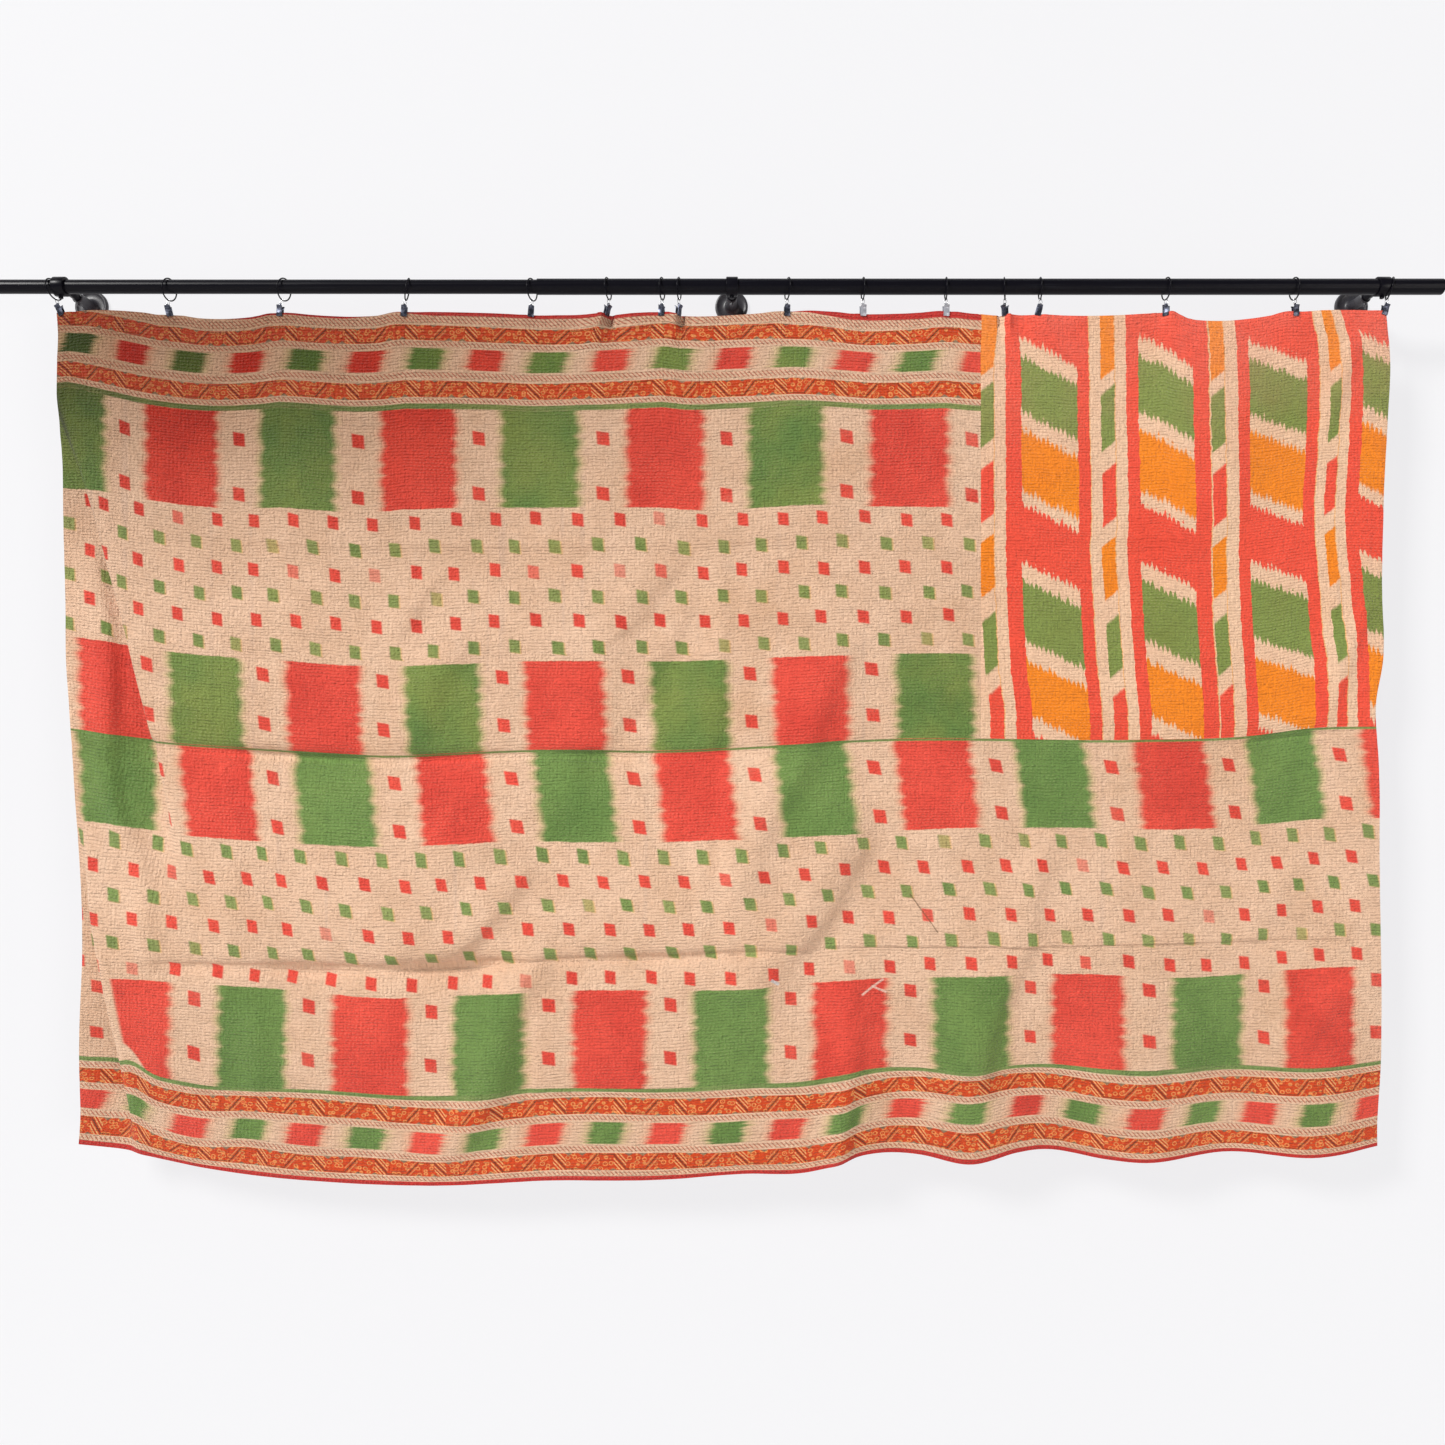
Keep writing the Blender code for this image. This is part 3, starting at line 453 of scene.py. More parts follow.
# One row for each ring, left to right. Angles in degrees, the rest in metres.
#   ring_x        where the ring rests on the rod
#   ring_yaw      turn of the ring's plane about the vertical, 0 for square to the rod
#   ring_lean     swing of the ring's foot towards +X
#   eye_x         the clip's eye
#   yaw, lean     turn of the clip about the vertical, swing of its jaw towards +X
#   edge          height of the quilt's top edge in the clip
#   sag, skew     drop of the edge half way to the next clip; under 1 puts it nearer this clip
Hanger = namedtuple("Hanger", "ring_x ring_yaw ring_lean eye_x yaw lean edge sag skew")
HANGERS = [
    Hanger(-1.1125, 10, 14, -1.1015, -14, 22, -0.0418, -0.0060, 0.75),
    Hanger(-0.9182, 13, -4, -0.9224, 9, 13, -0.0462, 0.0085, 1.00),
    Hanger(-0.7295, 16, -8, -0.7375, -8, -4, -0.0426, 0.0075, 1.35),
    Hanger(-0.5270, -8, -11, -0.5350, 5, -3, -0.0410, -0.0015, 1.00),
    Hanger(-0.3268, 19, 0, -0.3278, 12, -4, -0.0462, 0.0006, 1.00),
    Hanger(-0.2034, 12, 3, -0.2018, 58, -12, -0.0446, 0.0000, 1.00),
    Hanger(-0.1136, 12, -2, -0.1146, -10, -3, -0.0409, 0.0000, 1.00),
    Hanger(-0.0858, 9, -2, -0.0868, 62, -3, -0.0453, 0.0045, 0.60),
    Hanger(0.0915, -12, -2, 0.0903, 6, -2, -0.0402, -0.0024, 0.70),
    Hanger(0.2141, -3, 0, 0.2141, 13, 0, -0.0443, 0.0016, 0.65),
    Hanger(0.3497, 4, 0, 0.3497, 11, 0, -0.0400, 0.0016, 1.00),
    Hanger(0.4449, 13, 2, 0.4457, -60, 2, -0.0458, 0.0000, 1.00),
    Hanger(0.5033, 6, 1, 0.5044, -12, -16, -0.0454, 0.0036, 1.00),
    Hanger(0.7100, -3, -1, 0.7094, -38, -1, -0.0410, 0.0155, 0.72),
    Hanger(0.9183, -1, 3, 0.9203, 8, 2, -0.0400, -0.0020, 1.00),
    Hanger(1.0790, 14, -14, 1.0690, 6, -12, -0.0388, 0.0000, 1.00),
]


def ring_top(hanger):
    """The middle of the ring's wire where it rides on the rod."""
    tube = THIN_RADIUS if hanger.ring_x < ROD_JOIN else THICK_RADIUS
    return Vector((hanger.ring_x, -ROD_OUT, tube + GAP + RING_WIRE))


def ring_foot(hanger):
    """The middle of the ring's wire at its lowest point."""
    lean = math.radians(hanger.ring_lean)
    return ring_top(hanger) + 2.0 * RING_RADIUS * Vector((math.sin(lean), 0.0, -math.cos(lean)))


def clip_eye(hanger):
    """The middle of the clip's eye, a link's length below the ring."""
    foot = ring_foot(hanger)
    aside = hanger.eye_x - foot.x
    drop = math.sqrt(LINK_LENGTH**2 - aside**2)
    return Vector((hanger.eye_x, foot.y, foot.z - drop))


def wire_along(path, beside, radius, sides=10, closed=True):
    """A round wire: at each place of the path, a circle in the plane square to it.

    `beside` gives a direction off the path at each place, from which the circle's start is
    found as the part of it that is square to the path.
    """
    path, beside = np.asarray(path, float), np.asarray(beside, float)
    if closed:
        forward = np.roll(path, -1, axis=0) - np.roll(path, 1, axis=0)
    else:
        forward = np.gradient(path, axis=0)
    forward /= np.linalg.norm(forward, axis=1, keepdims=True)
    first = beside - np.sum(beside * forward, axis=1, keepdims=True) * forward
    first /= np.linalg.norm(first, axis=1, keepdims=True)
    second = np.cross(forward, first)
    angle = np.linspace(0.0, 2.0 * math.pi, sides, endpoint=False)
    turn = angle[None, :, None]
    circle = first[:, None, :] * np.cos(turn) + second[:, None, :] * np.sin(turn)
    points = path[:, None, :] + radius * circle
    faces = grid_faces(len(path), sides, closed, True)
    if closed:
        return points.reshape(-1, 3), faces
    # Each open end is closed by quads that run across it, two corners from each side.
    step = np.arange(sides // 2 - 1)
    low = np.stack([step, step + 1, sides - 2 - step, sides - 1 - step], axis=1)
    high = low[:, ::-1] + (len(path) - 1) * sides
    return points.reshape(-1, 3), np.concatenate([faces, low, high])


def smoothed(path, steps):
    """A closed path through the given places, each stretch a cubic with the neighbours' slopes."""
    path = np.asarray(path, float)
    slope = (np.roll(path, -1, axis=0) - np.roll(path, 1, axis=0)) / 2.0
    t = (np.arange(steps) / steps)[None, :, None]
    start, end = path[:, None, :], np.roll(path, -1, axis=0)[:, None, :]
    rate_in, rate_out = slope[:, None, :], np.roll(slope, -1, axis=0)[:, None, :]
    curve = (
        (1.0 + 2.0 * t) * (1.0 - t) ** 2 * start
        + t * (1.0 - t) ** 2 * rate_in
        + t**2 * (3.0 - 2.0 * t) * end
        + t**2 * (t - 1.0) * rate_out
    )
    return curve.reshape(-1, 3)


def link_route(hanger):
    """A closed teardrop: round the ring's wire at its head, through the clip's eye at its foot.

    It turns from square to the ring at the head to the clip's own width at the foot. With each
    place comes the direction square to the loop's plane there.
    """
    head = ring_foot(hanger)
    foot = clip_eye(hanger) + Vector((0.0, 0.0, EYE_RADIUS - LINK_WIRE - GAP))
    bend = RING_WIRE + GAP + LINK_WIRE
    arc = [math.pi * i / 4.0 for i in range(5)]
    shape = [(bend * math.cos(a), 0.0, bend * math.sin(a)) for a in arc]
    shape += [(-LINK_FOOT, 0.82, 0.0), (-0.6 * LINK_FOOT, 1.0, 0.0), (0.6 * LINK_FOOT, 1.0, 0.0)]
    shape += [(LINK_FOOT, 0.82, 0.0)]
    route, square = [], []
    for across, down, lift in shape:
        turn = math.radians(down * hanger.yaw - (1.0 - down) * hanger.ring_yaw)
        middle = head.lerp(foot, down)
        route.append(middle + Vector((across * math.cos(turn), across * math.sin(turn), lift)))
        square.append((-math.sin(turn), math.cos(turn), 0.0))
    return smoothed(route, 6), smoothed(square, 6)


bright, bright_tree, bright_shader = plain_material("bright_wire", WIRE_COLOUR, 0.24, 1.0)
drawn = noise(bright_tree, object_place(bright_tree), 2600.0, 2.0)
bright_tree.links.new((drawn * 0.24 + 0.14).socket, bright_shader.inputs["Roughness"])

for number, hanger in enumerate(HANGERS, 1):
    lean = Matrix.Rotation(math.radians(-hanger.ring_lean), 4, "Y")
    yaw = Matrix.Rotation(math.radians(-hanger.ring_yaw), 4, "Z")
    place = Matrix.Translation((ring_top(hanger) + ring_foot(hanger)) / 2.0) @ lean @ yaw
    angle = np.linspace(0.0, 2.0 * math.pi, 64, endpoint=False)
    circle = RING_RADIUS * np.stack([np.zeros(64), np.sin(angle), np.cos(angle)], axis=1)
    axis = np.repeat(placed([(1.0, 0.0, 0.0)], (lean @ yaw)), 64, axis=0)
    ring = wire_along(placed(circle, place), axis, RING_WIRE, 12)
    add_piece(f"hanging_ring_{number:02d}", *ring, enamel, f"ring_{number:02d}", smooth=0)

    route, square = link_route(hanger)
    link = wire_along(route, square, LINK_WIRE, 8)
    add_piece(f"wire_link_{number:02d}", *link, bright, f"link_{number:02d}", "bright_wire", smooth=0)


# The clips: two pressed plates of dark nickelled steel with turned-in jaws, held shut by a coil
# spring on a pin between them, and a tab with an eye for the link. Two of them, along a stretch
# of the rod, are painted brighter and less metallic: a painted highlight of the light they catch.
CLIP_WIDTH = 0.0098
CLIP_LENGTH = 0.0196
CLIP_SLOT_DEPTH = 0.0105
CLIP_PLATE = 0.0011
CLIP_SPREAD = 0.0052
CLIP_HANDLE = 0.0178
SPRING_TURNS = 5.0
SPRING_LENGTH = 0.0052
SPRING_RADIUS = 0.00105
SPRING_WIRE = 0.00028
TAB_WIDTH = 0.0015
TAB_RADIUS = 0.0022
CLOTH = 0.0020
NICKEL_DARK = (0.045, 0.050, 0.072)
NICKEL_LIGHT = (0.140, 0.150, 0.200)
# Painted highlight colour of the two clips that catch the light.
NICKEL_GLINT = (0.420, 0.430, 0.480)
GLINT_FROM = 0.203
GLINT_TO = 0.359


def clip_frame(hanger):
    """The clip's place and turn: its eye is its origin, its jaw points down local Z."""
    lean = Matrix.Rotation(math.radians(-hanger.lean), 4, "Y")
    yaw = Matrix.Rotation(math.radians(hanger.yaw), 4, "Z")
    return Matrix.Translation(clip_eye(hanger)) @ lean @ yaw


def jaw_tip(hanger):
    """The middle of the clip's jaw, where the cloth leaves it."""
    return clip_frame(hanger) @ Vector((0.0, 0.0, -CLIP_LENGTH))


def clip_plate(side):
    """One plate: its side view runs straight between seven places and carries a section whose
    width narrows at both ends and whose faces are crowned. `side` is +1 or -1 along Y.
    """
    slot = CLOTH / 2.0 + GAP
    tip, hinge, handle = -CLIP_LENGTH, -CLIP_LENGTH + CLIP_SLOT_DEPTH, -CLIP_LENGTH + CLIP_HANDLE
    heights = [tip, tip + 0.0012, tip + 0.005, hinge, hinge + 0.003, handle - 0.0012, handle]
    inner = [slot, slot + 0.0002, slot + 0.0009, slot + 0.0007, slot + 0.0010]
    inner += [CLIP_SPREAD - 0.0010, CLIP_SPREAD - 0.0002]
    steps = np.linspace(0.0, 1.0, 30)
    z = np.interp(steps, np.linspace(0.0, 1.0, 7), heights)
    near = np.interp(steps, np.linspace(0.0, 1.0, 7), inner)
    across = np.linspace(-1.0, 1.0, 13)
    ends = np.minimum(steps, 1.0 - steps) * 30.0
    width = CLIP_WIDTH / 2.0 * (1.0 - 0.16 * np.exp(-ends / 1.1))
    width = width * (1.0 - 0.13 * np.clip((steps - 0.6) / 0.4, 0.0, 1.0))
    x = width[:, None] * across[None, :]
    crown = 0.0005 * (1.0 - across**2)[None, :] + 0.0 * x
    thick = 0.75 * CLIP_PLATE * np.minimum(1.0, 0.35 + ends / 1.5)[:, None] + 0.0 * x
    inside = np.stack([x, side * (near[:, None] + 0.5 * crown), z[:, None] + 0.0 * x], axis=-1)
    outside = inside + np.stack([0.0 * x, side * (thick + 0.5 * crown), 0.0 * x], axis=-1)
    section = np.concatenate([inside, outside[:, ::-1]], axis=1)
    rows, columns = section.shape[:2]
    faces = grid_faces(rows, columns, False, True)
    cap = np.arange(columns // 2 - 1)
    low = np.stack([cap, cap + 1, columns - 2 - cap, columns - 1 - cap], axis=1)
    high = low[:, ::-1] + (rows - 1) * columns
    return section.reshape(-1, 3), np.concatenate([faces, low, high])


def clip_spring():
    """A coil of wire round the pin: x runs along it as the angle turns, y and z circle."""
    turns = np.linspace(0.0, 1.0, 61)
    angle = turns * SPRING_TURNS * 2.0 * math.pi
    middle = -CLIP_LENGTH + CLIP_SLOT_DEPTH + 0.0019
    x = (turns - 0.5) * SPRING_LENGTH
    y = SPRING_RADIUS * np.cos(angle)
    z = middle + SPRING_RADIUS * np.sin(angle)
    path = np.stack([x, y, z], axis=1)
    axis = np.repeat([(1.0, 0.0, 0.0)], len(path), axis=0)
    return wire_along(path, axis, SPRING_WIRE, 6, False)


def clip_tab():
    """The tab between the plates: an outline with a round head, and a bored eye, both carried
    across its width as rings of places that the two faces join.
    """
    angle = np.linspace(0.0, 2.0 * math.pi, 32, endpoint=False)
    head = TAB_RADIUS * np.stack([np.sin(angle), np.cos(angle)], axis=1)
    foot = np.clip(-np.cos(angle), 0.0, 1.0) ** 3
    head[:, 1] -= foot * (CLIP_LENGTH - CLIP_SLOT_DEPTH - 0.0022 - TAB_RADIUS)
    head[:, 0] *= 1.0 - 0.35 * foot
    hole = EYE_RADIUS * np.stack([np.sin(angle), np.cos(angle)], axis=1)
    half = TAB_WIDTH / 2.0
    rings = []
    for shape, x in ((head, half), (hole, half), (hole, -half), (head, -half)):
        rings.append(np.stack([np.full(32, x), shape[:, 0], shape[:, 1]], axis=1))
    return np.stack(rings), grid_faces(4, 32, True, True)


nickel, nickel_tree, nickel_shader = plain_material("clip_steel", NICKEL_DARK, 0.34, 0.85)
nickel_place = object_place(nickel_tree)
tarnish = noise(nickel_tree, nickel_place, 260.0, 3.0, 0.6)
clip_along, _, _ = apart(nickel_tree, nickel_place)
# Painted highlight: the clips in a stretch along the rod are paler and less metallic, for the light they
# catch.
glint_middle, glint_half = (GLINT_FROM + GLINT_TO) / 2.0, (GLINT_TO - GLINT_FROM) / 2.0
from_middle = (clip_along - glint_middle).sum("ABSOLUTE")
glint_share = from_middle.rising(glint_half + 0.002, glint_half - 0.002)
nickel_colour = painted(nickel_tree, tarnish.rising(0.40, 0.72), NICKEL_DARK, NICKEL_LIGHT)
nickel_colour = painted(nickel_tree, glint_share * 0.8, nickel_colour, NICKEL_GLINT)
nickel_tree.links.new(nickel_colour, nickel_shader.inputs["Base Color"])
nickel_tree.links.new((glint_share * -0.65 + 0.85).socket, nickel_shader.inputs["Metallic"])
nickel_tree.links.new((tarnish * 0.30 + 0.20).socket, nickel_shader.inputs["Roughness"])
raised(nickel_tree, nickel_shader, noise(nickel_tree, nickel_place, 1800.0, 2.0), 0.00006, 0.4)

clip_points, clip_faces = joined(clip_plate(1.0), clip_plate(-1.0), clip_spring(), clip_tab())
for number, hanger in enumerate(HANGERS, 1):
    name, node = f"spring_clip_{number:02d}", f"clip_{number:02d}"
    clip_shape = placed(clip_points, clip_frame(hanger))
    add_piece(name, clip_shape, clip_faces, nickel, node, "clip_steel", 35.0)


# The quilt's shape: one limp sheet of thin worn cotton, 2.17 m by 1.40 m. Sixteen clips bite its
# top edge, cloth is taken up in slanting pleats at the left, and old folds still show in it.
HEM = 1.4010
SEAM = 0.7030
CREASE = 1.0460
NIP_HALF = 0.0068
NIP_HEIGHT = 0.0112
NIP_BLEND = 0.0360
NIP_FADE = 0.0700

# Side edges of the quilt as it hangs: height, left edge, right edge.
Side = namedtuple("Side", "z left right")
SIDES = [
    Side(-0.040, -1.1050, 1.0690),
    Side(-0.110, -1.1030, 1.0760),
    Side(-0.220, -1.1040, 1.0740),
    Side(-0.330, -1.1035, 1.0690),
    Side(-0.520, -1.0990, 1.0645),
    Side(-0.640, -1.0970, 1.0660),
    Side(-0.700, -1.0930, 1.0560),
    Side(-0.810, -1.0850, 1.0595),
    Side(-0.920, -1.0790, 1.0605),
    Side(-1.080, -1.0735, 1.0625),
    Side(-1.220, -1.0760, 1.0645),
    Side(-1.290, -1.0760, 1.0655),
    Side(-1.400, -1.0700, 1.0600),
]

# Lines that run across the quilt, as they hang: places of (x, z).
SEAM_LINE = [
    (-1.110, -0.718), (-0.935, -0.743), (-0.796, -0.754), (-0.575, -0.766), (-0.328, -0.757),
    (-0.123, -0.758), (0.271, -0.738), (0.663, -0.740), (0.863, -0.733), (0.956, -0.721),
    (1.080, -0.718),
]
CREASE_LINE = [
    (-1.110, -1.098), (-1.028, -1.104), (-0.691, -1.116), (-0.559, -1.118), (-0.350, -1.105),
    (-0.088, -1.096), (0.093, -1.083), (0.569, -1.078), (1.080, -1.065),
]
HEM_LINE = [
    (-1.110, -1.398), (-0.992, -1.413), (-0.850, -1.443), (-0.691, -1.463), (-0.500, -1.471),
    (-0.283, -1.461), (-0.126, -1.459), (0.013, -1.448), (0.131, -1.443), (0.206, -1.419),
    (0.243, -1.415), (0.310, -1.417), (0.386, -1.430), (0.467, -1.415), (0.505, -1.412),
    (0.611, -1.426), (0.667, -1.430), (0.817, -1.418), (0.953, -1.423), (1.080, -1.404),
]

# Pleats near the left edge, where cloth is taken up and what lies left of it hangs further
# back. Path from (top_x, top_z) to (foot_x, foot_z) on the cloth laid flat.
Pleat = namedtuple("Pleat", "top_x top_z foot_x foot_z fade half take_up recess groove")
PLEATS = [
    Pleat(-1.1000, -0.230, -0.9200, -0.900, 0.300, 0.0190, 0.0255, 0.0200, 0.0060),
    Pleat(-1.0880, -0.900, -0.9860, -1.420, 0.260, 0.0212, 0.0290, 0.0210, 0.0050),
]
GROOVE_AT = 0.034
GROOVE_WIDTH = 0.026

# Soft folds: a rise (or, below 0, a dip) along a line, with a width of its own on each side,
# dying away at both ends.
Fold = namedtuple("Fold", "x1 z1 x2 z2 left right rise fade")
FOLDS = [
    Fold(-0.060, -0.440, -0.170, -0.600, 0.030, 0.090, -0.0050, 0.050),
    Fold(-0.150, -0.600, -0.230, -0.930, 0.045, 0.120, -0.0065, 0.120),
    Fold(-0.420, -0.880, -0.570, -1.100, 0.150, 0.045, 0.0100, 0.070),
    Fold(-0.310, -0.900, -0.440, -1.110, 0.040, 0.090, -0.0050, 0.090),
    Fold(0.200, -0.860, 0.010, -1.160, 0.140, 0.030, 0.0120, 0.070),
    Fold(0.250, -0.930, 0.080, -1.200, 0.028, 0.110, -0.0045, 0.080),
    Fold(0.485, -0.850, 0.440, -1.330, 0.045, 0.060, -0.0060, 0.100),
    Fold(-0.700, -0.150, -0.640, -0.520, 0.110, 0.110, 0.0060, 0.120),
    Fold(-0.330, -0.090, -0.360, -0.480, 0.100, 0.080, -0.0050, 0.120),
    Fold(0.150, -0.070, 0.190, -0.560, 0.110, 0.110, 0.0050, 0.150),
    Fold(0.780, -0.060, 0.760, -0.400, 0.060, 0.080, 0.0060, 0.080),
    Fold(0.640, -0.080, 0.600, -0.520, 0.070, 0.090, -0.0050, 0.120),
    Fold(0.960, -0.080, 0.930, -0.600, 0.070, 0.070, -0.0050, 0.120),
]

# Pressed creases that follow a line across the quilt.
Pressed = namedtuple("Pressed", "line from_x to_x drop dip above below")
PRESSED = [
    Pressed(SEAM_LINE, -1.05, 1.05, 0.014, 0.0030, 0.014, 0.026),
    Pressed(CREASE_LINE, -1.02, 1.06, 0.000, 0.0048, 0.022, 0.030),
]

# Ripples that grow towards the hem at the right.
RIPPLE_FROM_X = 0.16
RIPPLE_LENGTH = 0.284
RIPPLE_CREST_X = 0.388
RIPPLE_DEPTH = 0.0085
RIPPLE_TOP = -1.080

# The sheet's slow forward and backward swell from one side to the other.
SWELL = 0.0060
SWELL_LENGTH = 1.450
SWELL_PHASE = 0.9


def eased(t):
    """Rises from 0 to 1 as t does, level at both ends."""
    t = np.clip(t, 0.0, 1.0)
    return t * t * (3.0 - 2.0 * t)


def through(known, values, at):
    """A smooth curve through the values at the known places, read at other places.

    Each piece is the cubic whose slopes at its ends are those of the neighbouring points.
    Beyond the ends it stays level. The values may be rows of numbers, one row for each place.
    """
    known = np.asarray(known, float)
    values = np.asarray(values, float)
    at = np.clip(np.asarray(at, float), known[0], known[-1])
    slopes = np.gradient(values, known, axis=0)
    left = np.clip(np.searchsorted(known, at, side="right") - 1, 0, len(known) - 2)
    step = known[left + 1] - known[left]
    t = (at - known[left]) / step
    if values.ndim > 1:
        columns = np.arange(values.shape[1])
        begin, finish = values[left, columns], values[left + 1, columns]
        rate_in, rate_out = slopes[left, columns], slopes[left + 1, columns]
    else:
        begin, finish = values[left], values[left + 1]
        rate_in, rate_out = slopes[left], slopes[left + 1]
    return (
        (1.0 + 2.0 * t) * (1.0 - t) ** 2 * begin
        + t * (1.0 - t) ** 2 * step * rate_in
        + t**2 * (3.0 - 2.0 * t) * finish
        + t**2 * (t - 1.0) * step * rate_out
    )


def line_height(line, x):
    """Height of a line across the quilt at other places along X."""
    return through(*np.array(line).T, x)


def top_edge(x):
    """Height of the top edge: straight from clip to clip, plus each stretch's own sag."""
    tips = np.array([jaw_tip(hanger).x for hanger in HANGERS])
    height = np.interp(x, tips, [hanger.edge for hanger in HANGERS])
    for hanger, start, end in zip(HANGERS, tips, tips[1:]):
        share = np.clip((x - start) / (end - start), 0.0, 1.0)
        height = height - hanger.sag * np.sin(math.pi * share**hanger.skew)
    return height


def pleat_share(pleat, flat_x, z):
    """1 well left of a pleat, 0 well right of it, times how fully it is formed at that height.

    With it come that fullness and the distance to the right of the pleat's path.
    """
    formed = eased((pleat.top_z - z) / pleat.fade + 0.5)
    formed = formed * eased((z - pleat.foot_z) / pleat.fade + 0.5)
    down = (z - pleat.top_z) / (pleat.foot_z - pleat.top_z)
    path = pleat.top_x + (pleat.foot_x - pleat.top_x) * down
    return formed * (1.0 - eased((flat_x - path) / (2.0 * pleat.half) + 0.5)), formed, flat_x - path


def fold_rise(fold, x, z):
    """Rise of a soft fold: a bell across its line, dying away towards the line's ends."""
    run = math.hypot(fold.x2 - fold.x1, fold.z2 - fold.z1)
    along_x_share, along_z_share = (fold.x2 - fold.x1) / run, (fold.z2 - fold.z1) / run
    along = (x - fold.x1) * along_x_share + (z - fold.z1) * along_z_share
    # Positive to the right of the line for a line that runs down.
    aside = (z - fold.z1) * along_x_share - (x - fold.x1) * along_z_share
    width = np.where(aside < 0.0, fold.left, fold.right)
    ends = eased(along / fold.fade + 0.5) * eased((run - along) / fold.fade + 0.5)
    return fold.rise * ends * np.exp(-((aside / width) ** 2))


def pressed_dip(pressed, x, z, bend=0.0):
    """A pressed crease: a trough (or, below 0, a ridge) along its line, rounded over `bend`."""
    away = z - (line_height(pressed.line, x) - pressed.drop)
    width = np.where(away > 0.0, pressed.above, pressed.below)
    ends = eased((x - pressed.from_x) / 0.12) * eased((pressed.to_x - x) / 0.12)
    return pressed.dip * ends * np.exp((bend - np.sqrt(away**2 + bend**2)) / width)


def forward(x, z):
    """How far the sheet stands in front of the rod's own plane, away from pleats and clips."""
    hung = eased((-0.04 - z) / 0.25)
    rise = SWELL * hung * np.sin(2.0 * math.pi * x / SWELL_LENGTH + SWELL_PHASE)
    for fold in FOLDS:
        rise = rise + fold_rise(fold, x, z)
    for pressed in PRESSED:
        rise = rise - pressed_dip(pressed, x, z)
    reach = eased((x - RIPPLE_FROM_X) / 0.15) * eased((RIPPLE_TOP - z) / 0.34)
    return rise + RIPPLE_DEPTH * reach * np.cos(2.0 * math.pi * (x - RIPPLE_CREST_X) / RIPPLE_LENGTH)


def nip_half(hanger):
    """Half the width of cloth that a clip holds flat."""
    return NIP_HALF + NIP_HEIGHT * abs(math.sin(math.radians(hanger.lean)))


NIP_SPANS = [(jaw_tip(h).x - nip_half(h), jaw_tip(h).x + nip_half(h)) for h in HANGERS]


def nip_reach(number):
    """How far beyond a clip's bite it draws the cloth, to its left and right.

    The reach ends at the neighbour's bite where that is nearer.
    """
    low, high = NIP_SPANS[number]
    before = low - NIP_SPANS[number - 1][1] if number > 0 else NIP_BLEND
    after = NIP_SPANS[number + 1][0] - high if number + 1 < len(NIP_SPANS) else NIP_BLEND
    return min(NIP_BLEND, before), min(NIP_BLEND, after)


def clip_planes():
    """For each clip: its jaw's tip, the cloth's place there, the plane of its slot, its reach."""
    planes = []
    for number, hanger in enumerate(HANGERS):
        turn = clip_frame(hanger).to_3x3()
        normal = turn @ Vector((0.0, 1.0, 0.0))
        up = (Vector((0.0, 0.0, 1.0)) - normal.z * normal).normalized()
        across = normal.cross(up) * -1.0
        if across.x < 0.0:
            across = -across
        tip = jaw_tip(hanger)
        bite = (hanger.edge - tip.z) / up.z
        planes.append((tip, bite, across, up, nip_half(hanger), nip_reach(number)))
    return planes


CLIP_PLANES = clip_planes()


def hung(flat_x, down):
    """Places of points of the flat quilt, at flat_x across and `down` below its top edge.

    The four lines across the quilt set the height, the pleats draw cloth in and set what is
    left of them back, the folds set the depth, and each clip holds its bite in a plane.
    """
    drop = -0.04 - down
    x = flat_x.copy()
    for pleat in PLEATS:
        share, _, _ = pleat_share(pleat, flat_x, drop)
        x = x + pleat.take_up * share
    heights = [top_edge(x)] + [line_height(line, x) for line in (SEAM_LINE, CREASE_LINE, HEM_LINE)]
    rows = np.stack(heights).reshape(4, -1)
    z = through([0.0, SEAM, CREASE, HEM], rows, down.reshape(-1)).reshape(x.shape)
    y = -ROD_OUT - forward(x, z)
    for pleat in PLEATS:
        share, formed, beside = pleat_share(pleat, flat_x, drop)
        groove = np.exp(-(((beside + GROOVE_AT) / GROOVE_WIDTH) ** 2))
        y = y + pleat.recess * share + pleat.groove * formed * groove
    for tip, bite, across, up, half, (before, after) in CLIP_PLANES:
        aside = flat_x - tip.x
        reach = np.where(aside < 0.0, before, after)
        held = 1.0 - eased((np.abs(aside) - half) / reach)
        held = held * (1.0 - eased((down - NIP_HEIGHT) / NIP_FADE))
        rise = bite - down
        x = x + held * (tip.x + aside * across.x + rise * up.x - x)
        y = y + held * (tip.y + aside * across.y + rise * up.y - y)
        z = z + held * (tip.z + aside * across.z + rise * up.z - z)
    return np.stack([x, y, z], axis=-1)


def side_places(down):
    """Where the flat sheet's two side edges lie, from where they hang and what is taken up."""
    z = -0.04 - down
    heights = [-side.z for side in SIDES]
    left = through(heights, [side.left for side in SIDES], -z)
    right = through(heights, [side.right for side in SIDES], -z)
    flat_left = left.copy()
    for _ in range(6):
        taken = sum(pleat.take_up * pleat_share(pleat, flat_left, z)[0] for pleat in PLEATS)
        flat_left = left - taken
    return flat_left, right


# The stitching: rows of running stitch by hand, 5 mm apart, that wander and pull the thin
# layers into small puckers. It shapes every piece of cloth, so the pieces share these lines.
STITCH_PITCH = 0.0050
LEVELS_A_ROW = 3
UPPER_ROWS = 141
LOWER_ROWS = 140
PUCKER = 0.00042
STITCH_WANDER = 0.0016
RIM_TURN = 0.0030
FOLLOW = 0.35


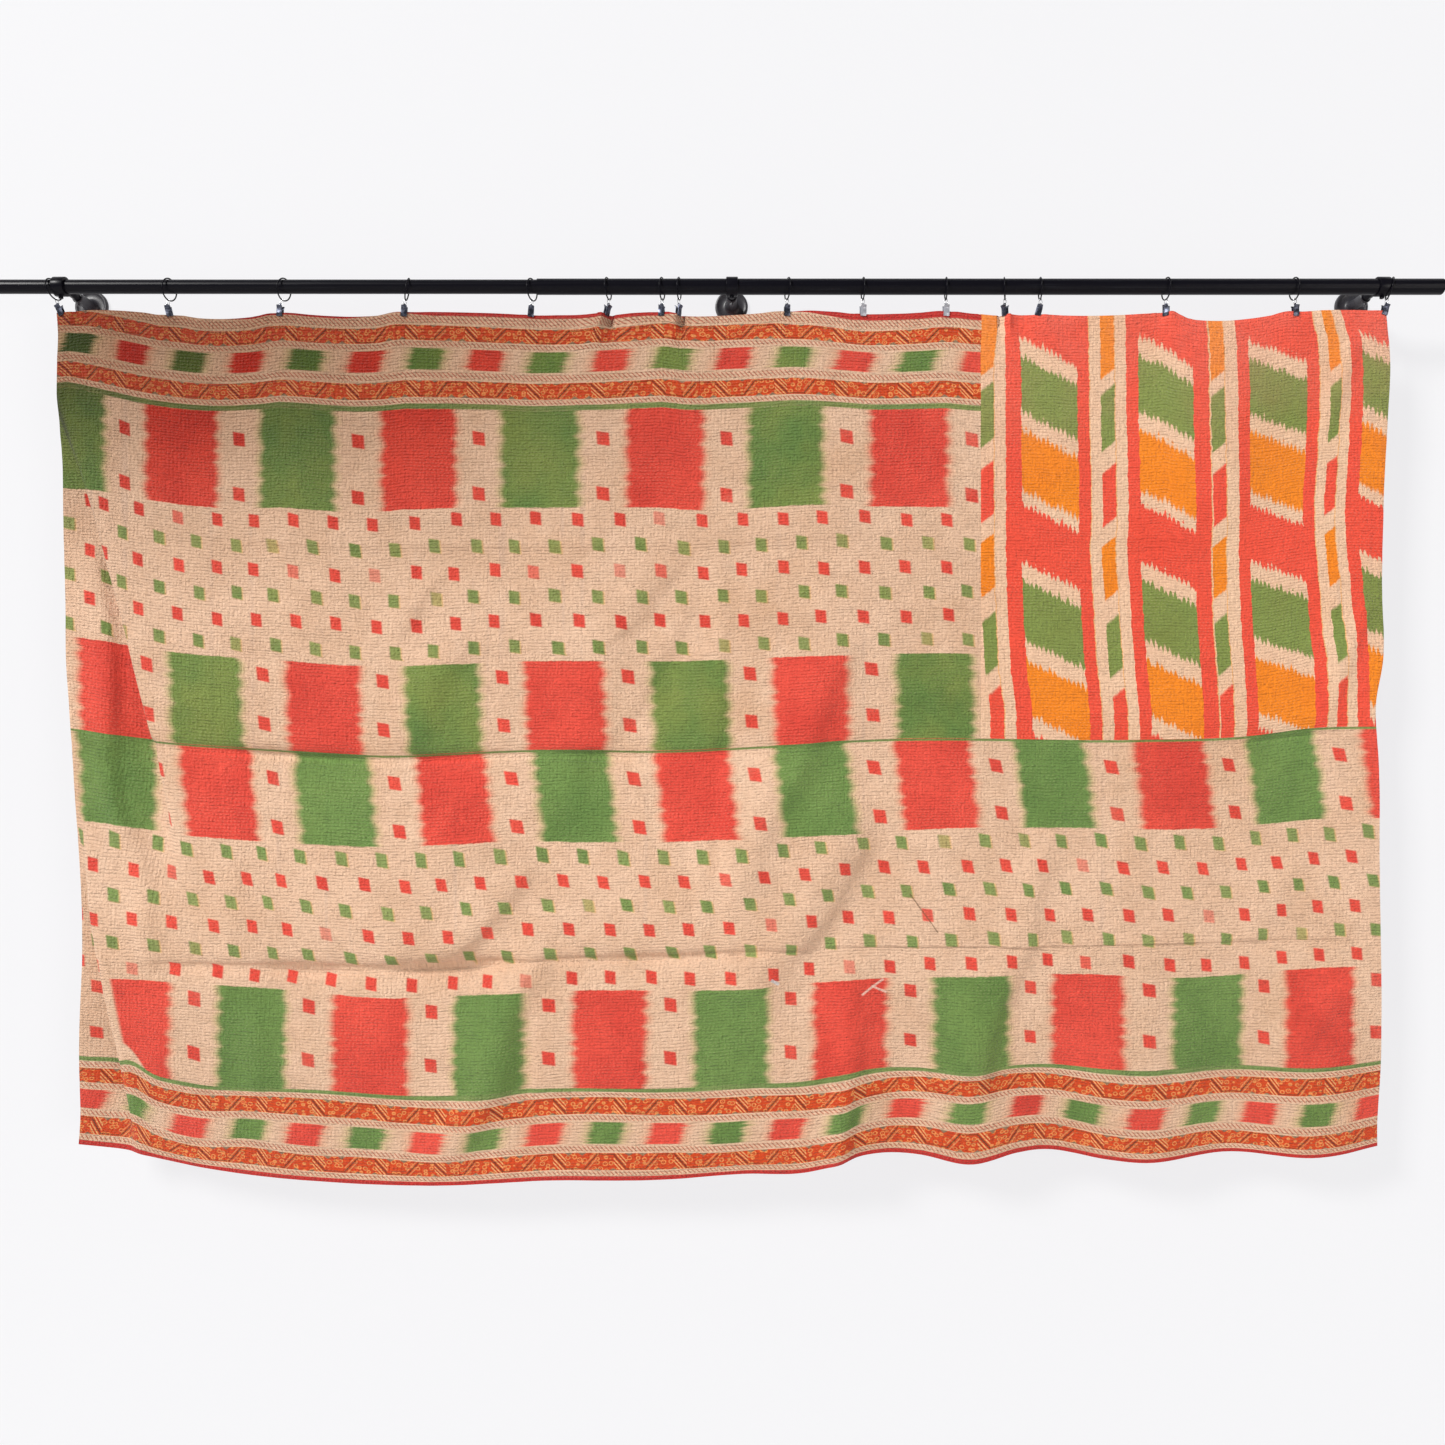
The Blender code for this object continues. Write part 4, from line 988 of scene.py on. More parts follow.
def soft_noise(u, v, cell_u, cell_v, seed):
    """Heights from -1 to 1 drawn at the corners of cells, eased from corner to corner."""
    table = np.random.default_rng(seed).uniform(-1.0, 1.0, (512, 512))
    a, b = u / cell_u + 60.0, v / cell_v + 60.0
    i, j = np.floor(a).astype(int), np.floor(b).astype(int)
    s, t = eased(a - i), eased(b - j)
    i, j = i % 511, j % 511
    upper = table[j, i] * (1.0 - s) + table[j, i + 1] * s
    lower = table[j + 1, i] * (1.0 - s) + table[j + 1, i + 1] * s
    return upper * (1.0 - t) + lower * t


def spread_places(start, end, coarse, fine, spans):
    """Places from start to end, `fine` apart in the spans and `coarse` apart elsewhere.

    The count grows with the density's running total, and places are read back from it.
    """
    x = np.linspace(start, end, 4000)
    density = np.full(x.shape, 1.0 / coarse)
    for low, high in spans:
        density = np.where((x > low) & (x < high), 1.0 / fine, density)
    total = np.concatenate([[0.0], np.cumsum((density[1:] + density[:-1]) / 2.0 * np.diff(x))])
    return np.interp(np.linspace(0.0, total[-1], int(round(total[-1])) + 1), total, x)


def stitched_down(flat_x, levels):
    """Distance below the top edge of each grid point: rows that wander as stitches do.

    The wander fades out towards the piece's top and foot, which stay where they are cut.
    """
    level = levels[:, None] + 0.0 * flat_x
    room = eased((level - levels[0]) / 0.03) * eased((levels[-1] - level) / 0.03)
    wander = soft_noise(flat_x, level, 0.11, 0.035, 3)
    wander = wander + 0.5 * soft_noise(flat_x, level, 0.045, 0.02, 4)
    return level + STITCH_WANDER * room * wander


# Creases too fine for the solid, each along a path of (x, z) that runs down: a ridge (or, below
# 0, a trough) with a width of its own on each side, dying away at both ends.
Crease = namedtuple("Crease", "rise left right fade path")
CREASES = [
    Crease(0.0050, 0.045, 0.015, 0.080, [
        (-0.080, -0.442), (-0.116, -0.479), (-0.144, -0.509), (-0.167, -0.549), (-0.199, -0.572),
        (-0.224, -0.600),
    ]),
    Crease(-0.0060, 0.014, 0.050, 0.100, [
        (-0.045, -0.500), (-0.083, -0.590), (-0.114, -0.642), (-0.129, -0.670), (-0.185, -0.746),
    ]),
    Crease(0.0040, 0.050, 0.009, 0.060, [
        (-0.014, -0.410), (-0.014, -0.600), (-0.018, -0.675), (-0.027, -0.760),
    ]),
    Crease(-0.0044, 0.020, 0.008, 0.060, [(-0.021, -0.750), (-0.021, -0.930), (-0.024, -1.085)]),
    Crease(-0.0028, 0.009, 0.010, 0.040, [(-0.078, -0.880), (-0.070, -0.960), (-0.062, -1.050)]),
    Crease(0.0150, 0.065, 0.030, 0.080, [
        (0.172, -0.590), (0.154, -0.644), (0.139, -0.687), (0.123, -0.731), (0.116, -0.762),
        (0.090, -0.816), (0.060, -0.858), (0.036, -0.907), (0.020, -0.950), (0.002, -1.000),
    ]),
    Crease(0.0080, 0.040, 0.020, 0.060, [
        (0.213, -0.900), (0.185, -0.950), (0.164, -0.994), (0.146, -1.026), (0.119, -1.058),
        (0.085, -1.100),
    ]),
    Crease(0.0034, 0.034, 0.026, 0.120, [
        (0.119, -1.050), (0.080, -1.107), (0.046, -1.182), (0.021, -1.218), (-0.020, -1.273),
        (-0.055, -1.315),
    ]),
    Crease(0.0100, 0.026, 0.024, 0.080, [
        (0.190, -1.120), (0.190, -1.260), (0.182, -1.345), (0.173, -1.440),
    ]),
    Crease(0.0070, 0.020, 0.018, 0.060, [(0.180, -1.310), (0.172, -1.450)]),
    Crease(0.0115, 0.050, 0.024, 0.090, [
        (0.512, -0.915), (0.484, -1.015), (0.477, -1.072), (0.454, -1.125), (0.432, -1.170),
        (0.414, -1.216), (0.402, -1.267), (0.398, -1.310),
    ]),
    Crease(-0.0021, 0.006, 0.008, 0.030, [(0.672, -0.990), (0.668, -1.075)]),
    Crease(0.0042, 0.040, 0.014, 0.050, [
        (0.925, -0.935), (0.896, -0.992), (0.873, -1.036), (0.845, -1.075),
    ]),
    Crease(0.0056, 0.030, 0.010, 0.040, [(1.005, -1.145), (0.971, -1.192), (0.935, -1.240)]),
    Crease(-0.0042, 0.012, 0.007, 0.050, [(0.716, -1.090), (0.716, -1.380)]),
    Crease(0.0053, 0.035, 0.012, 0.050, [(-0.480, -0.470), (-0.512, -0.510), (-0.550, -0.575)]),
    Crease(0.0110, 0.050, 0.028, 0.060, [
        (-0.448, -0.590), (-0.478, -0.630), (-0.508, -0.700), (-0.520, -0.745),
    ]),
    Crease(0.0120, 0.050, 0.018, 0.060, [
        (-0.346, -0.950), (-0.358, -0.975), (-0.394, -1.025), (-0.430, -1.065), (-0.470, -1.100),
    ]),
    Crease(0.0150, 0.050, 0.028, 0.090, [
        (-0.325, -1.090), (-0.352, -1.160), (-0.378, -1.225), (-0.385, -1.290), (-0.420, -1.360),
        (-0.460, -1.420),
    ]),
    Crease(-0.0060, 0.030, 0.010, 0.070, [(-0.334, -1.170), (-0.334, -1.330)]),
    Crease(0.0042, 0.020, 0.012, 0.050, [(-0.775, -1.180), (-0.775, -1.320)]),
    Crease(0.0032, 0.030, 0.010, 0.080, [(-0.815, -0.920), (-0.812, -1.090)]),
    Crease(0.0090, 0.030, 0.012, 0.080, [
        (-1.052, -0.420), (-1.040, -0.500), (-1.029, -0.560), (-1.025, -0.640), (-1.024, -0.750),
        (-1.014, -0.840), (-0.994, -0.900),
    ]),
    Crease(0.0039, 0.020, 0.014, 0.080, [(-0.984, -0.880), (-0.960, -0.990), (-0.952, -1.110)]),
    Crease(0.0050, 0.020, 0.012, 0.060, [(1.020, -0.090), (0.975, -0.230)]),
    Crease(0.0058, 0.030, 0.012, 0.060, [(1.040, -0.520), (0.975, -0.700)]),
    Crease(0.0024, 0.030, 0.010, 0.060, [(0.470, -0.830), (0.530, -0.900)]),
]

# Creases too fine for the solid that follow a line across the quilt, rounded over FINE_BEND.
FINE_BEND = 0.0028
FINE_LINE = [
    (-0.800, -0.416), (-0.690, -0.420), (-0.380, -0.421), (-0.080, -0.419), (0.060, -0.412),
    (0.175, -0.406), (0.420, -0.408), (1.050, -0.412),
]
FINE_PRESSED = [
    Pressed(FINE_LINE, -0.86, 0.26, 0.000, -0.0046, 0.040, 0.007),
    Pressed(FINE_LINE, 0.32, 1.04, 0.000, -0.0016, 0.030, 0.006),
    Pressed(SEAM_LINE, -1.04, 0.30, 0.006, 0.0050, 0.006, 0.016),
    Pressed(SEAM_LINE, -0.88, -0.54, 0.010, 0.0120, 0.012, 0.030),
    Pressed(SEAM_LINE, -0.58, -0.30, 0.010, 0.0070, 0.011, 0.024),
    Pressed(SEAM_LINE, -0.34, -0.12, 0.010, 0.0080, 0.011, 0.024),
    Pressed(SEAM_LINE, 0.78, 1.04, 0.012, 0.0090, 0.012, 0.030),
    Pressed(CREASE_LINE, -1.00, 0.16, 0.002, 0.0085, 0.007, 0.018),
    Pressed(CREASE_LINE, 0.10, 1.06, -0.004, -0.0048, 0.018, 0.006),
    Pressed(CREASE_LINE, -0.82, -0.56, 0.008, 0.0150, 0.014, 0.028),
    Pressed(CREASE_LINE, -0.62, -0.30, 0.006, 0.0160, 0.015, 0.028),
    Pressed(CREASE_LINE, -0.28, 0.05, 0.002, 0.0060, 0.010, 0.024),
    Pressed(CREASE_LINE, 0.74, 1.00, 0.000, 0.0044, 0.010, 0.024),
]


def crease_rise(crease, x, z):
    """Rise of a fine crease: a bell across its path, measured square to its mean slope."""
    path_x, path_z = np.array(crease.path).T
    run_x, run_z = path_x[-1] - path_x[0], path_z[0] - path_z[-1]
    aside = (x - through(-path_z, path_x, -z)) * run_z / math.hypot(run_x, run_z)
    width = np.where(aside < 0.0, crease.left, crease.right)
    ends = eased((path_z[0] - z) / crease.fade + 0.5) * eased((z - path_z[-1]) / crease.fade + 0.5)
    return crease.rise * ends * np.exp(-((aside / width) ** 2))


def creasing(u, v, x, z):
    """The fine creases, and low ones of worn cloth in three sizes of noise, on slanting lines."""
    placed_rise = sum(crease_rise(crease, x, z) for crease in CREASES)
    placed_rise = placed_rise - sum(pressed_dip(pressed, x, z, FINE_BEND) for pressed in FINE_PRESSED)
    slant = u + 0.35 * v
    large = soft_noise(slant, v, 0.090, 0.160, 11) * 0.0011
    middle = soft_noise(u - 0.6 * v, v, 0.040, 0.075, 12) * 0.0005
    small = soft_noise(u + 0.8 * v, v, 0.019, 0.027, 13) * 0.00028
    return placed_rise + large + middle + small


def puckering(u, v, phase, strength):
    """Puckers of the stitch rows: a cosine from row to row, stronger here and weaker there."""
    drawn_in = 0.75 + 0.45 * soft_noise(u, v, 0.10, 0.07, 21)
    drawn_in = np.clip(drawn_in + 0.30 * soft_noise(u, v, 0.027, 0.013, 22), 0.15, 1.4)
    return -PUCKER * strength * drawn_in * (0.5 + 0.5 * np.cos(2.0 * math.pi * phase))


def cloth(name, flat_x, down, phase, side, proud, strength, edges, material):
    """A sheet of cloth on one face of the quilt, as a grid.

    Each point is the quilt's middle surface plus, along its normal, half the thickness, the
    creases and the puckers. Towards the edges named in `edges` the half thickness runs out over
    RIM_TURN as a quarter circle does, which closes the quilt's rim. `side` is 1 for the front
    and -1 for the back, and `proud` is how far the piece lies on top of the others.
    """
    small = 0.0005
    middle = hung(flat_x, down)
    across = hung(flat_x + small, down) - hung(flat_x - small, down)
    below, above = np.clip(down + small, 0.0, HEM), np.clip(down - small, 0.0, HEM)
    fall = hung(flat_x, below) - hung(flat_x, above)
    normal = np.cross(fall, across)
    normal /= np.linalg.norm(normal, axis=-1, keepdims=True)
    inward = np.full(flat_x.shape, 1.0)
    measures = {
        "top": down - down[:1],
        "foot": down[-1:] - down,
        "left": flat_x - flat_x[:, :1],
        "right": flat_x[:, -1:] - flat_x,
    }
    for edge in edges:
        room = np.clip(measures[edge] / RIM_TURN, 0.0, 1.0)
        inward = inward * np.sqrt(1.0 - (1.0 - room) ** 2)
    rise = side * (CLOTH / 2.0 + proud) * inward
    fine = creasing(flat_x, down, middle[..., 0], middle[..., 2]) + swung_back(flat_x, down)
    rise = rise + fine * calm(flat_x, down)
    rise = rise + side * puckering(flat_x, down, phase, strength) * inward
    points = (middle + normal * rise[..., None]).reshape(-1, 3)
    rows, columns = flat_x.shape
    faces = grid_faces(rows, columns)
    if side < 0.0:
        faces = faces[:, ::-1]
    mesh = bpy.data.meshes.new(name)
    mesh.vertices.add(len(points))
    mesh.vertices.foreach_set("co", points.astype(np.float32).ravel())
    mesh.loops.add(faces.size)
    mesh.loops.foreach_set("vertex_index", faces.astype(np.int32).ravel())
    mesh.polygons.add(len(faces))
    mesh.polygons.foreach_set("loop_start", (np.arange(len(faces)) * 4).astype(np.int32))
    mesh.update(calc_edges=True)
    mesh.shade_smooth()
    mesh.materials.append(material)
    flat = mesh.attributes.new("flat", "FLOAT_VECTOR", "POINT")
    places = np.stack([flat_x, down, phase + 0.0 * flat_x], axis=-1)
    flat.data.foreach_set("vector", places.astype(np.float32).ravel())
    made = bpy.data.objects.new(name, mesh)
    bpy.context.scene.collection.objects.link(made)
    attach(made, "root")
    return made


SWING_SHARE = 0.65


def swung_back(flat_x, down):
    """How far the cloth beside and below a turned clip swings back out of its slot's plane."""
    rise = np.zeros(flat_x.shape)
    for tip, _, across, _, half, (before, after) in CLIP_PLANES:
        aside = flat_x - tip.x
        held = 1.0 - eased((np.abs(aside) - half) / np.where(aside < 0.0, before, after))
        held = held * (1.0 - eased((down - NIP_HEIGHT) / NIP_FADE))
        rise = rise + SWING_SHARE * held * aside * across.y
    return rise


def calm(flat_x, down):
    """0 in the clips' bites, where the cloth is held flat, and 1 elsewhere."""
    free = np.ones(flat_x.shape)
    for tip, _, _, _, half, _ in CLIP_PLANES:
        beside = eased((np.abs(flat_x - tip.x) - half) / 0.012)
        near = (1.0 - beside) * (1.0 - eased((down - NIP_HEIGHT) / 0.012))
        free = free * (1.0 - near)
    return free


def grid_between(columns, levels, follow_left=True, follow_right=True):
    """Flat places of a piece's grid: columns at the quilt's top that follow the quilt's sides.

    A column follows a side the less, the further it is from it, and not at all from FOLLOW on.
    """
    left, right = side_places(levels)
    left_at_top, right_at_top = side_places(np.array([0.0]))
    flat_x = np.repeat(columns[None, :], len(levels), axis=0)
    if follow_left:
        share = np.clip(1.0 - (columns - left_at_top[0]) / FOLLOW, 0.0, 1.0) ** 2
        flat_x = flat_x + (left - left_at_top[0])[:, None] * share
    if follow_right:
        share = np.clip(1.0 - (right_at_top[0] - columns) / FOLLOW, 0.0, 1.0) ** 2
        flat_x = flat_x + (right - right_at_top[0])[:, None] * share
    return flat_x


# The cloth of all four pieces: hand-spun looking cotton worn thin, with uneven threads, old
# stains and the pale running stitches of the quilting, which pucker it.
CREAM = (0.825, 0.560, 0.398)
CREAM_SHADED = (0.745, 0.485, 0.330)
# The next tint darkens the cloth by age toning and by painted shade, in the share stored at each point.
AGE_AND_SHADE_TINT = (0.37, 0.31, 0.26)
STITCH_THREAD = (0.78, 0.60, 0.42)
THREAD_SHADE = (0.91, 0.885, 0.865)
STAIN = (0.88, 0.80, 0.70)
STREAK = (0.90, 0.92, 0.97)
STITCH_LENGTH = 0.0066
RIB_LENGTH = 0.0064
RELIEF_HEIGHT = 0.0049
FULL_TURN = 6.28318


def surface_value(tree, name):
    """A value stored at each point of the piece."""
    node = tree.nodes.new("ShaderNodeAttribute")
    node.attribute_name = name
    return node.outputs["Vector"]


def dyed(tree, share, colour, tint):
    """The colour multiplied by a tint, in the given share."""
    node = tree.nodes.new("ShaderNodeMix")
    node.data_type = "RGBA"
    node.blend_type = "MULTIPLY"
    tree.links.new(colour, node.inputs[6])
    node.inputs[7].default_value = (*tint, 1.0)
    if isinstance(share, Reading):
        tree.links.new(share.socket, node.inputs[0])
    else:
        node.inputs[0].default_value = share
    return node.outputs[2]


def sewn_cotton(tree, shader, colour, age_and_shade, thread_share, relief):
    """Finishes a cloth: threads, stains, ageing, painted shade and stitches on its colour, and its fine
    relief.

    The stitches lie where the row phase is a whole number, in dashes that start anew in each
    row. The relief adds up small tucks of noise, a ripple from row to row, broad waves of noise
    and faint ribs that run down.
    """
    u, v, phase = apart(tree, surface_value(tree, "flat"))
    weft = noise(tree, (u * 40.0, v * 420.0, 0.0), 1.0, 2.0, 0.6)
    warp = noise(tree, (u * 420.0, v * 40.0, 4.0), 1.0, 2.0, 0.6)
    threads = (weft + warp).rising(0.72, 1.28)
    colour = dyed(tree, threads, colour, THREAD_SHADE)
    cloud = noise(tree, (u * 5.0, v * 5.0, 1.7), 1.0, 5.0, 0.62)
    colour = dyed(tree, cloud.rising(0.48, 0.78) * 0.55, colour, STAIN)
    row = phase.sum("ROUND")
    start = (row * 0.618).sum("FRACT")
    dash = (u / STITCH_LENGTH + start * 7.0).sum("FRACT")
    sewn = (phase - row).sum("ABSOLUTE").rising(0.17, 0.07) * dash.rising(0.56, 0.46)
    patchy = noise(tree, (u * 14.0, v * 14.0, 9.0), 1.0, 2.0)
    colour = painted(tree, sewn * patchy.rising(0.30, 0.66) * thread_share, colour, STITCH_THREAD)
    streak = noise(tree, (u * 52.0, v * 0.9, 5.0), 1.0, 1.5)
    streaked = streak.rising(0.60, 0.74) * patchy.rising(0.34, 0.58) * 0.7
    colour = dyed(tree, streaked, colour, STREAK)
    # Darkened by age toning and by painted shade, in the share stored at each point.
    colour = dyed(tree, age_and_shade, colour, AGE_AND_SHADE_TINT)
    tree.links.new(colour, shader.inputs["Base Color"])
    shader.inputs["Sheen Weight"].default_value = 0.12
    shader.inputs["Sheen Roughness"].default_value = 0.5
    shader.inputs["Specular IOR Level"].default_value = 0.15
    swirl = noise(tree, (u * 26.0, phase * 0.12, 3.0), 1.0, 2.0)
    tucks = noise(tree, (u * 235.0, phase * 1.7 + swirl * 1.5, 0.5), 1.0, 2.0, 0.55)
    rows = ((phase + swirl * 0.9) * FULL_TURN).sum("COSINE") * (tucks * 0.34 + 0.05)
    waves = noise(tree, (u * 30.0, v * 95.0, 6.0), 1.0, 3.0, 0.55)
    ribs = ((u / RIB_LENGTH + swirl * 1.6) * FULL_TURN).sum("COSINE") * (waves * 0.5)
    height = (tucks * 0.90 - rows * 0.50 + waves * 0.55 + ribs * 0.16) * relief + threads * 0.13
    raised(tree, shader, height, RELIEF_HEIGHT, 1.0)


# The sari: one length of cream cotton, printed with ikat blocks and dots in red and green, cut
# in two and joined along a seam, its two borders at the quilt's top and foot. Its print is in
# steps of 1.634 mm on the cloth laid flat, across from STEPS_FROM and down from the top edge.
STEP = 0.001634
STEPS_FROM = -1.135
RED = (0.830, 0.090, 0.060)
RED_DEEP = (0.700, 0.064, 0.044)
GREEN_DEEP = (0.130, 0.235, 0.060)
# The next three tints take the dyes down with the cream, by age toning and by painted shade.
RED_AGE_AND_SHADE = (0.80, 0.28, 0.06)
GREEN_AGE_AND_SHADE = (0.36, 0.38, 0.05)
BORDER_GREEN_AGE_AND_SHADE = (0.86, 1.00, 0.70)
EDGE_RED = (0.560, 0.036, 0.030)
FADED_EDGE = (0.80, 0.44, 0.12)
ROPE_STROKE = (0.545, 0.190, 0.118)
RED_SOFT = (0.83, 0.36, 0.22)
GREEN_SOFT = (0.55, 0.47, 0.20)
BORDER_GROUND = (0.680, 0.078, 0.014)
BORDER_SPECKLED = (0.66, 0.062, 0.016)
BORDER_PLAIN = (0.600, 0.052, 0.012)
BORDER_PALE = (0.860, 0.335, 0.105)
BORDER_LINE = (0.900, 0.430, 0.170)
BORDER_DARK = (0.085, 0.050, 0.020)
BORDER_GREY = (0.200, 0.205, 0.130)

# Where lines of the print run: the level each has on the print, and its place down the cloth at
# some places across it.
Line = namedtuple("Line", "level places")
UPPER_LINES = [
    Line(14.0, [
        (30, -2), (60, 3), (90, 8), (210, 13), (330, 12), (450, 14), (570, 14), (690, 9.5), (810, 17),
        (930, 16),
    ]),
    Line(94.0, [
        (30, 79), (60, 86), (90, 91), (210, 92.5), (450, 93.5), (570, 94), (690, 93), (810, 97),
        (930, 98.5),
    ]),
    Line(192.0, [
        (30, 185), (90, 190), (210, 192), (330, 192), (450, 190), (570, 190.5), (690, 193), (810, 195),
        (930, 199),
    ]),
    Line(342.0, [
        (30, 340), (90, 341), (210, 342), (450, 343), (570, 341.5), (690, 341.5), (810, 344.5),
        (930, 345),
    ]),
    Line(430.2, [(30, 430.2), (930, 430.2)]),
]
LOWER_LINES = [
    Line(430.2, [(30, 430.2), (1330, 430.2)]),
    Line(521.0, [
        (60, 512), (180, 517), (295, 519), (417, 519), (538, 522), (661, 523), (780, 525), (902, 521),
        (1023, 519), (1141, 523), (1258, 521),
    ]),
    Line(533.0, [
        (105, 527), (261, 531), (424, 535), (626, 539), (745, 539), (824, 534), (865, 534),
        (1024, 532), (1147, 538), (1256, 535),
    ]),
    Line(669.0, [
        (106, 656), (212, 660), (333, 668), (451, 670), (575, 670), (696, 675), (817, 673), (934, 670),
        (1047, 669), (1166, 675), (1280, 668),
    ]),
    Line(766.0, [
        (30, 752), (78, 750), (92, 747), (118, 761), (150, 765), (270, 763), (390, 767), (510, 766),
        (630, 768), (750, 769), (870, 766), (1290, 768),
    ]),
    Line(778.0, [
        (30, 766), (78, 764), (92, 761), (118, 773), (150, 777), (210, 773), (270, 772), (330, 775),
        (390, 779), (450, 780), (510, 776), (570, 775), (630, 778), (690, 781), (750, 781), (810, 783),
        (870, 776), (930, 773), (990, 774), (1050, 778), (1290, 778),
    ]),
    Line(831.0, [
        (60, 824), (80, 822), (94, 820), (120, 831), (150, 835), (210, 828), (270, 831), (330, 830),
        (390, 833), (450, 832), (570, 830), (630, 831), (690, 835), (750, 832), (810, 832), (870, 828),
        (930, 826), (990, 828), (1050, 832), (1170, 834), (1230, 836), (1290, 835),
    ]),
    Line(857.4, [(30, 857.4), (1330, 857.4)]),
]

# The print's count across: a red dot stands at every whole number, a green one half way
# between. Each list gives the count's places from its first number on, and how far rows at some
# levels are shifted.
Count = namedtuple("Count", "first places shifts")
UPPER_COUNT = Count(
    -3,
    [
        -12, 30, 67, 102, 141, 179, 217, 257, 297, 337, 377, 417, 457, 497, 541, 583, 623.5, 666, 705,
        745, 784.5, 826, 868.5, 910, 951,
    ],
    [(60, 0.0), (94, 3.5), (192, 3.5), (197, 0.0), (335, 0.0), (342, 7.0), (430, 10.0)],
)
LOWER_COUNT = Count(
    -4,
    [
        -31, 9, 49, 90, 130, 170, 209, 244, 284, 326, 367, 406, 443, 484, 526, 566, 607, 647, 688, 728,
        766, 805, 847, 886, 928, 969, 1006, 1044, 1085, 1127, 1166, 1204, 1240, 1277, 1315, 1355,
    ],
    [(434, -14.0), (480, -7.5), (533, -2.0), (558, 0.0), (584, 4.0), (633, 6.5), (715, 6.0), (811, 6.0)],
)

# The print's parts by level, with top and foot for each band, line and row.
#   blocks        top, foot, count at a red block's middle, half width, the two squares' levels
#   dots          first row, pitch, 1 if that row is green
#   flipped       the lower half, whose figured bands are upside down and which shows wear
#   ikat_green    count at the middle of a green one of the border's small blocks
#   red_edge      the level where it begins, or None where it is measured from the top edge
#   wear          two ends, half width and colour: two pale scuffs in a V, a bare spot, a thread
Blocks = namedtuple("Blocks", "top foot red half squares")
Layout = namedtuple(
    "Layout", "green blocks dots ropes figured flipped ikat ikat_green green_lines red_edge wear"
)
PALE_SCUFF = (0.86, 0.62, 0.52)
BARE_SPOT = (0.62, 0.64, 0.68)
LOOSE_THREAD = (0.22, 0.11, 0.06)
UPPER_LAYOUT = Layout(
    green=(0.215, 0.285, 0.070),
    blocks=(
        Blocks(94.0, 192.0, 1.0, 0.915, (123.0, 178.0)),
        Blocks(342.0, 434.0, 4.5, 0.910, (357.0, 405.0)),
    ),
    dots=(204.0, 24.8, 0.0),
    ropes=((2.0, 13.0), (28.8, 35.0), (58.0, 65.5), (83.5, 89.0)),
    figured=((14.0, 28.6), (67.0, 83.0)),
    flipped=False,
    ikat=(36.0, 56.5),
    ikat_green=1.28,
    green_lines=((89.0, 94.2),),
    red_edge=None,
    wear=(),
)
LOWER_LAYOUT = Layout(
    green=(0.182, 0.300, 0.082),
    blocks=(
        Blocks(429.0, 521.0, 1.5, 0.900, (458.0, 506.0)),
        Blocks(669.0, 766.5, 5.0, 0.890, (683.0, 736.0)),
    ),
    dots=(533.0, 24.6, 1.0),
    ropes=((771.0, 777.5), (794.5, 801.0), (823.5, 830.5), (847.5, 852.8)),
    figured=((778.0, 794.2), (831.0, 847.2)),
    flipped=True,
    ikat=(801.8, 822.5),
    ikat_green=1.90,
    green_lines=((430.6, 432.8), (766.0, 770.6)),
    red_edge=853.0,
    wear=(
        ((846.0, 673.0), (824.0, 689.0), 1.0, PALE_SCUFF),
        ((834.0, 680.0), (849.0, 687.0), 0.9, PALE_SCUFF),
        ((733.0, 668.0), (741.0, 673.0), 1.3, BARE_SPOT),
        ((872.0, 586.0), (900.0, 625.0), 0.45, LOOSE_THREAD),
    ),
)


def print_places(flat_x, down, lines, count):
    """The print's count across and level down at points of the flat cloth.

    Between two of its lines the level is shared out evenly; the count is a smooth curve through
    the count's places, read after the row's own shift is taken off.
    """
    across, fall = (flat_x - STEPS_FROM) / STEP, down / STEP
    heights = [through(*np.array(line.places, float).T, across) for line in lines]
    level = lines[0].level + np.minimum(fall - heights[0], 0.0) + np.maximum(fall - heights[-1], 0.0)
    for line, after, start, end in zip(lines, lines[1:], heights, heights[1:]):
        level = level + (after.level - line.level) * np.clip((fall - start) / (end - start), 0.0, 1.0)
    shift = np.interp(level, *np.array(count.shifts, float).T)
    numbers = count.first + np.arange(len(count.places))
    return through(count.places, numbers, across - shift), level


def slanted_mark(aside, below, half_wide, half_high):
    """A printed dot or square: a small four-cornered mark whose top runs down to the right."""
    lean = aside - below * 0.07
    drop = below - aside * 0.16
    wide = lean.sum("ABSOLUTE").rising(half_wide + 1.3, half_wide - 1.1)
    return wide * drop.sum("ABSOLUTE").rising(half_high + 0.9, half_high - 0.9)


def pick(flag, low, high):
    """The number `low` where the flag is 0 and `high` where it is 1."""
    return flag * (high - low) + low


def between(level, top, foot, soft):
    """1 between two levels and 0 outside them, with edges twice `soft` high."""
    return level.rising(top - soft, top + soft) * level.rising(foot + soft, foot - soft)


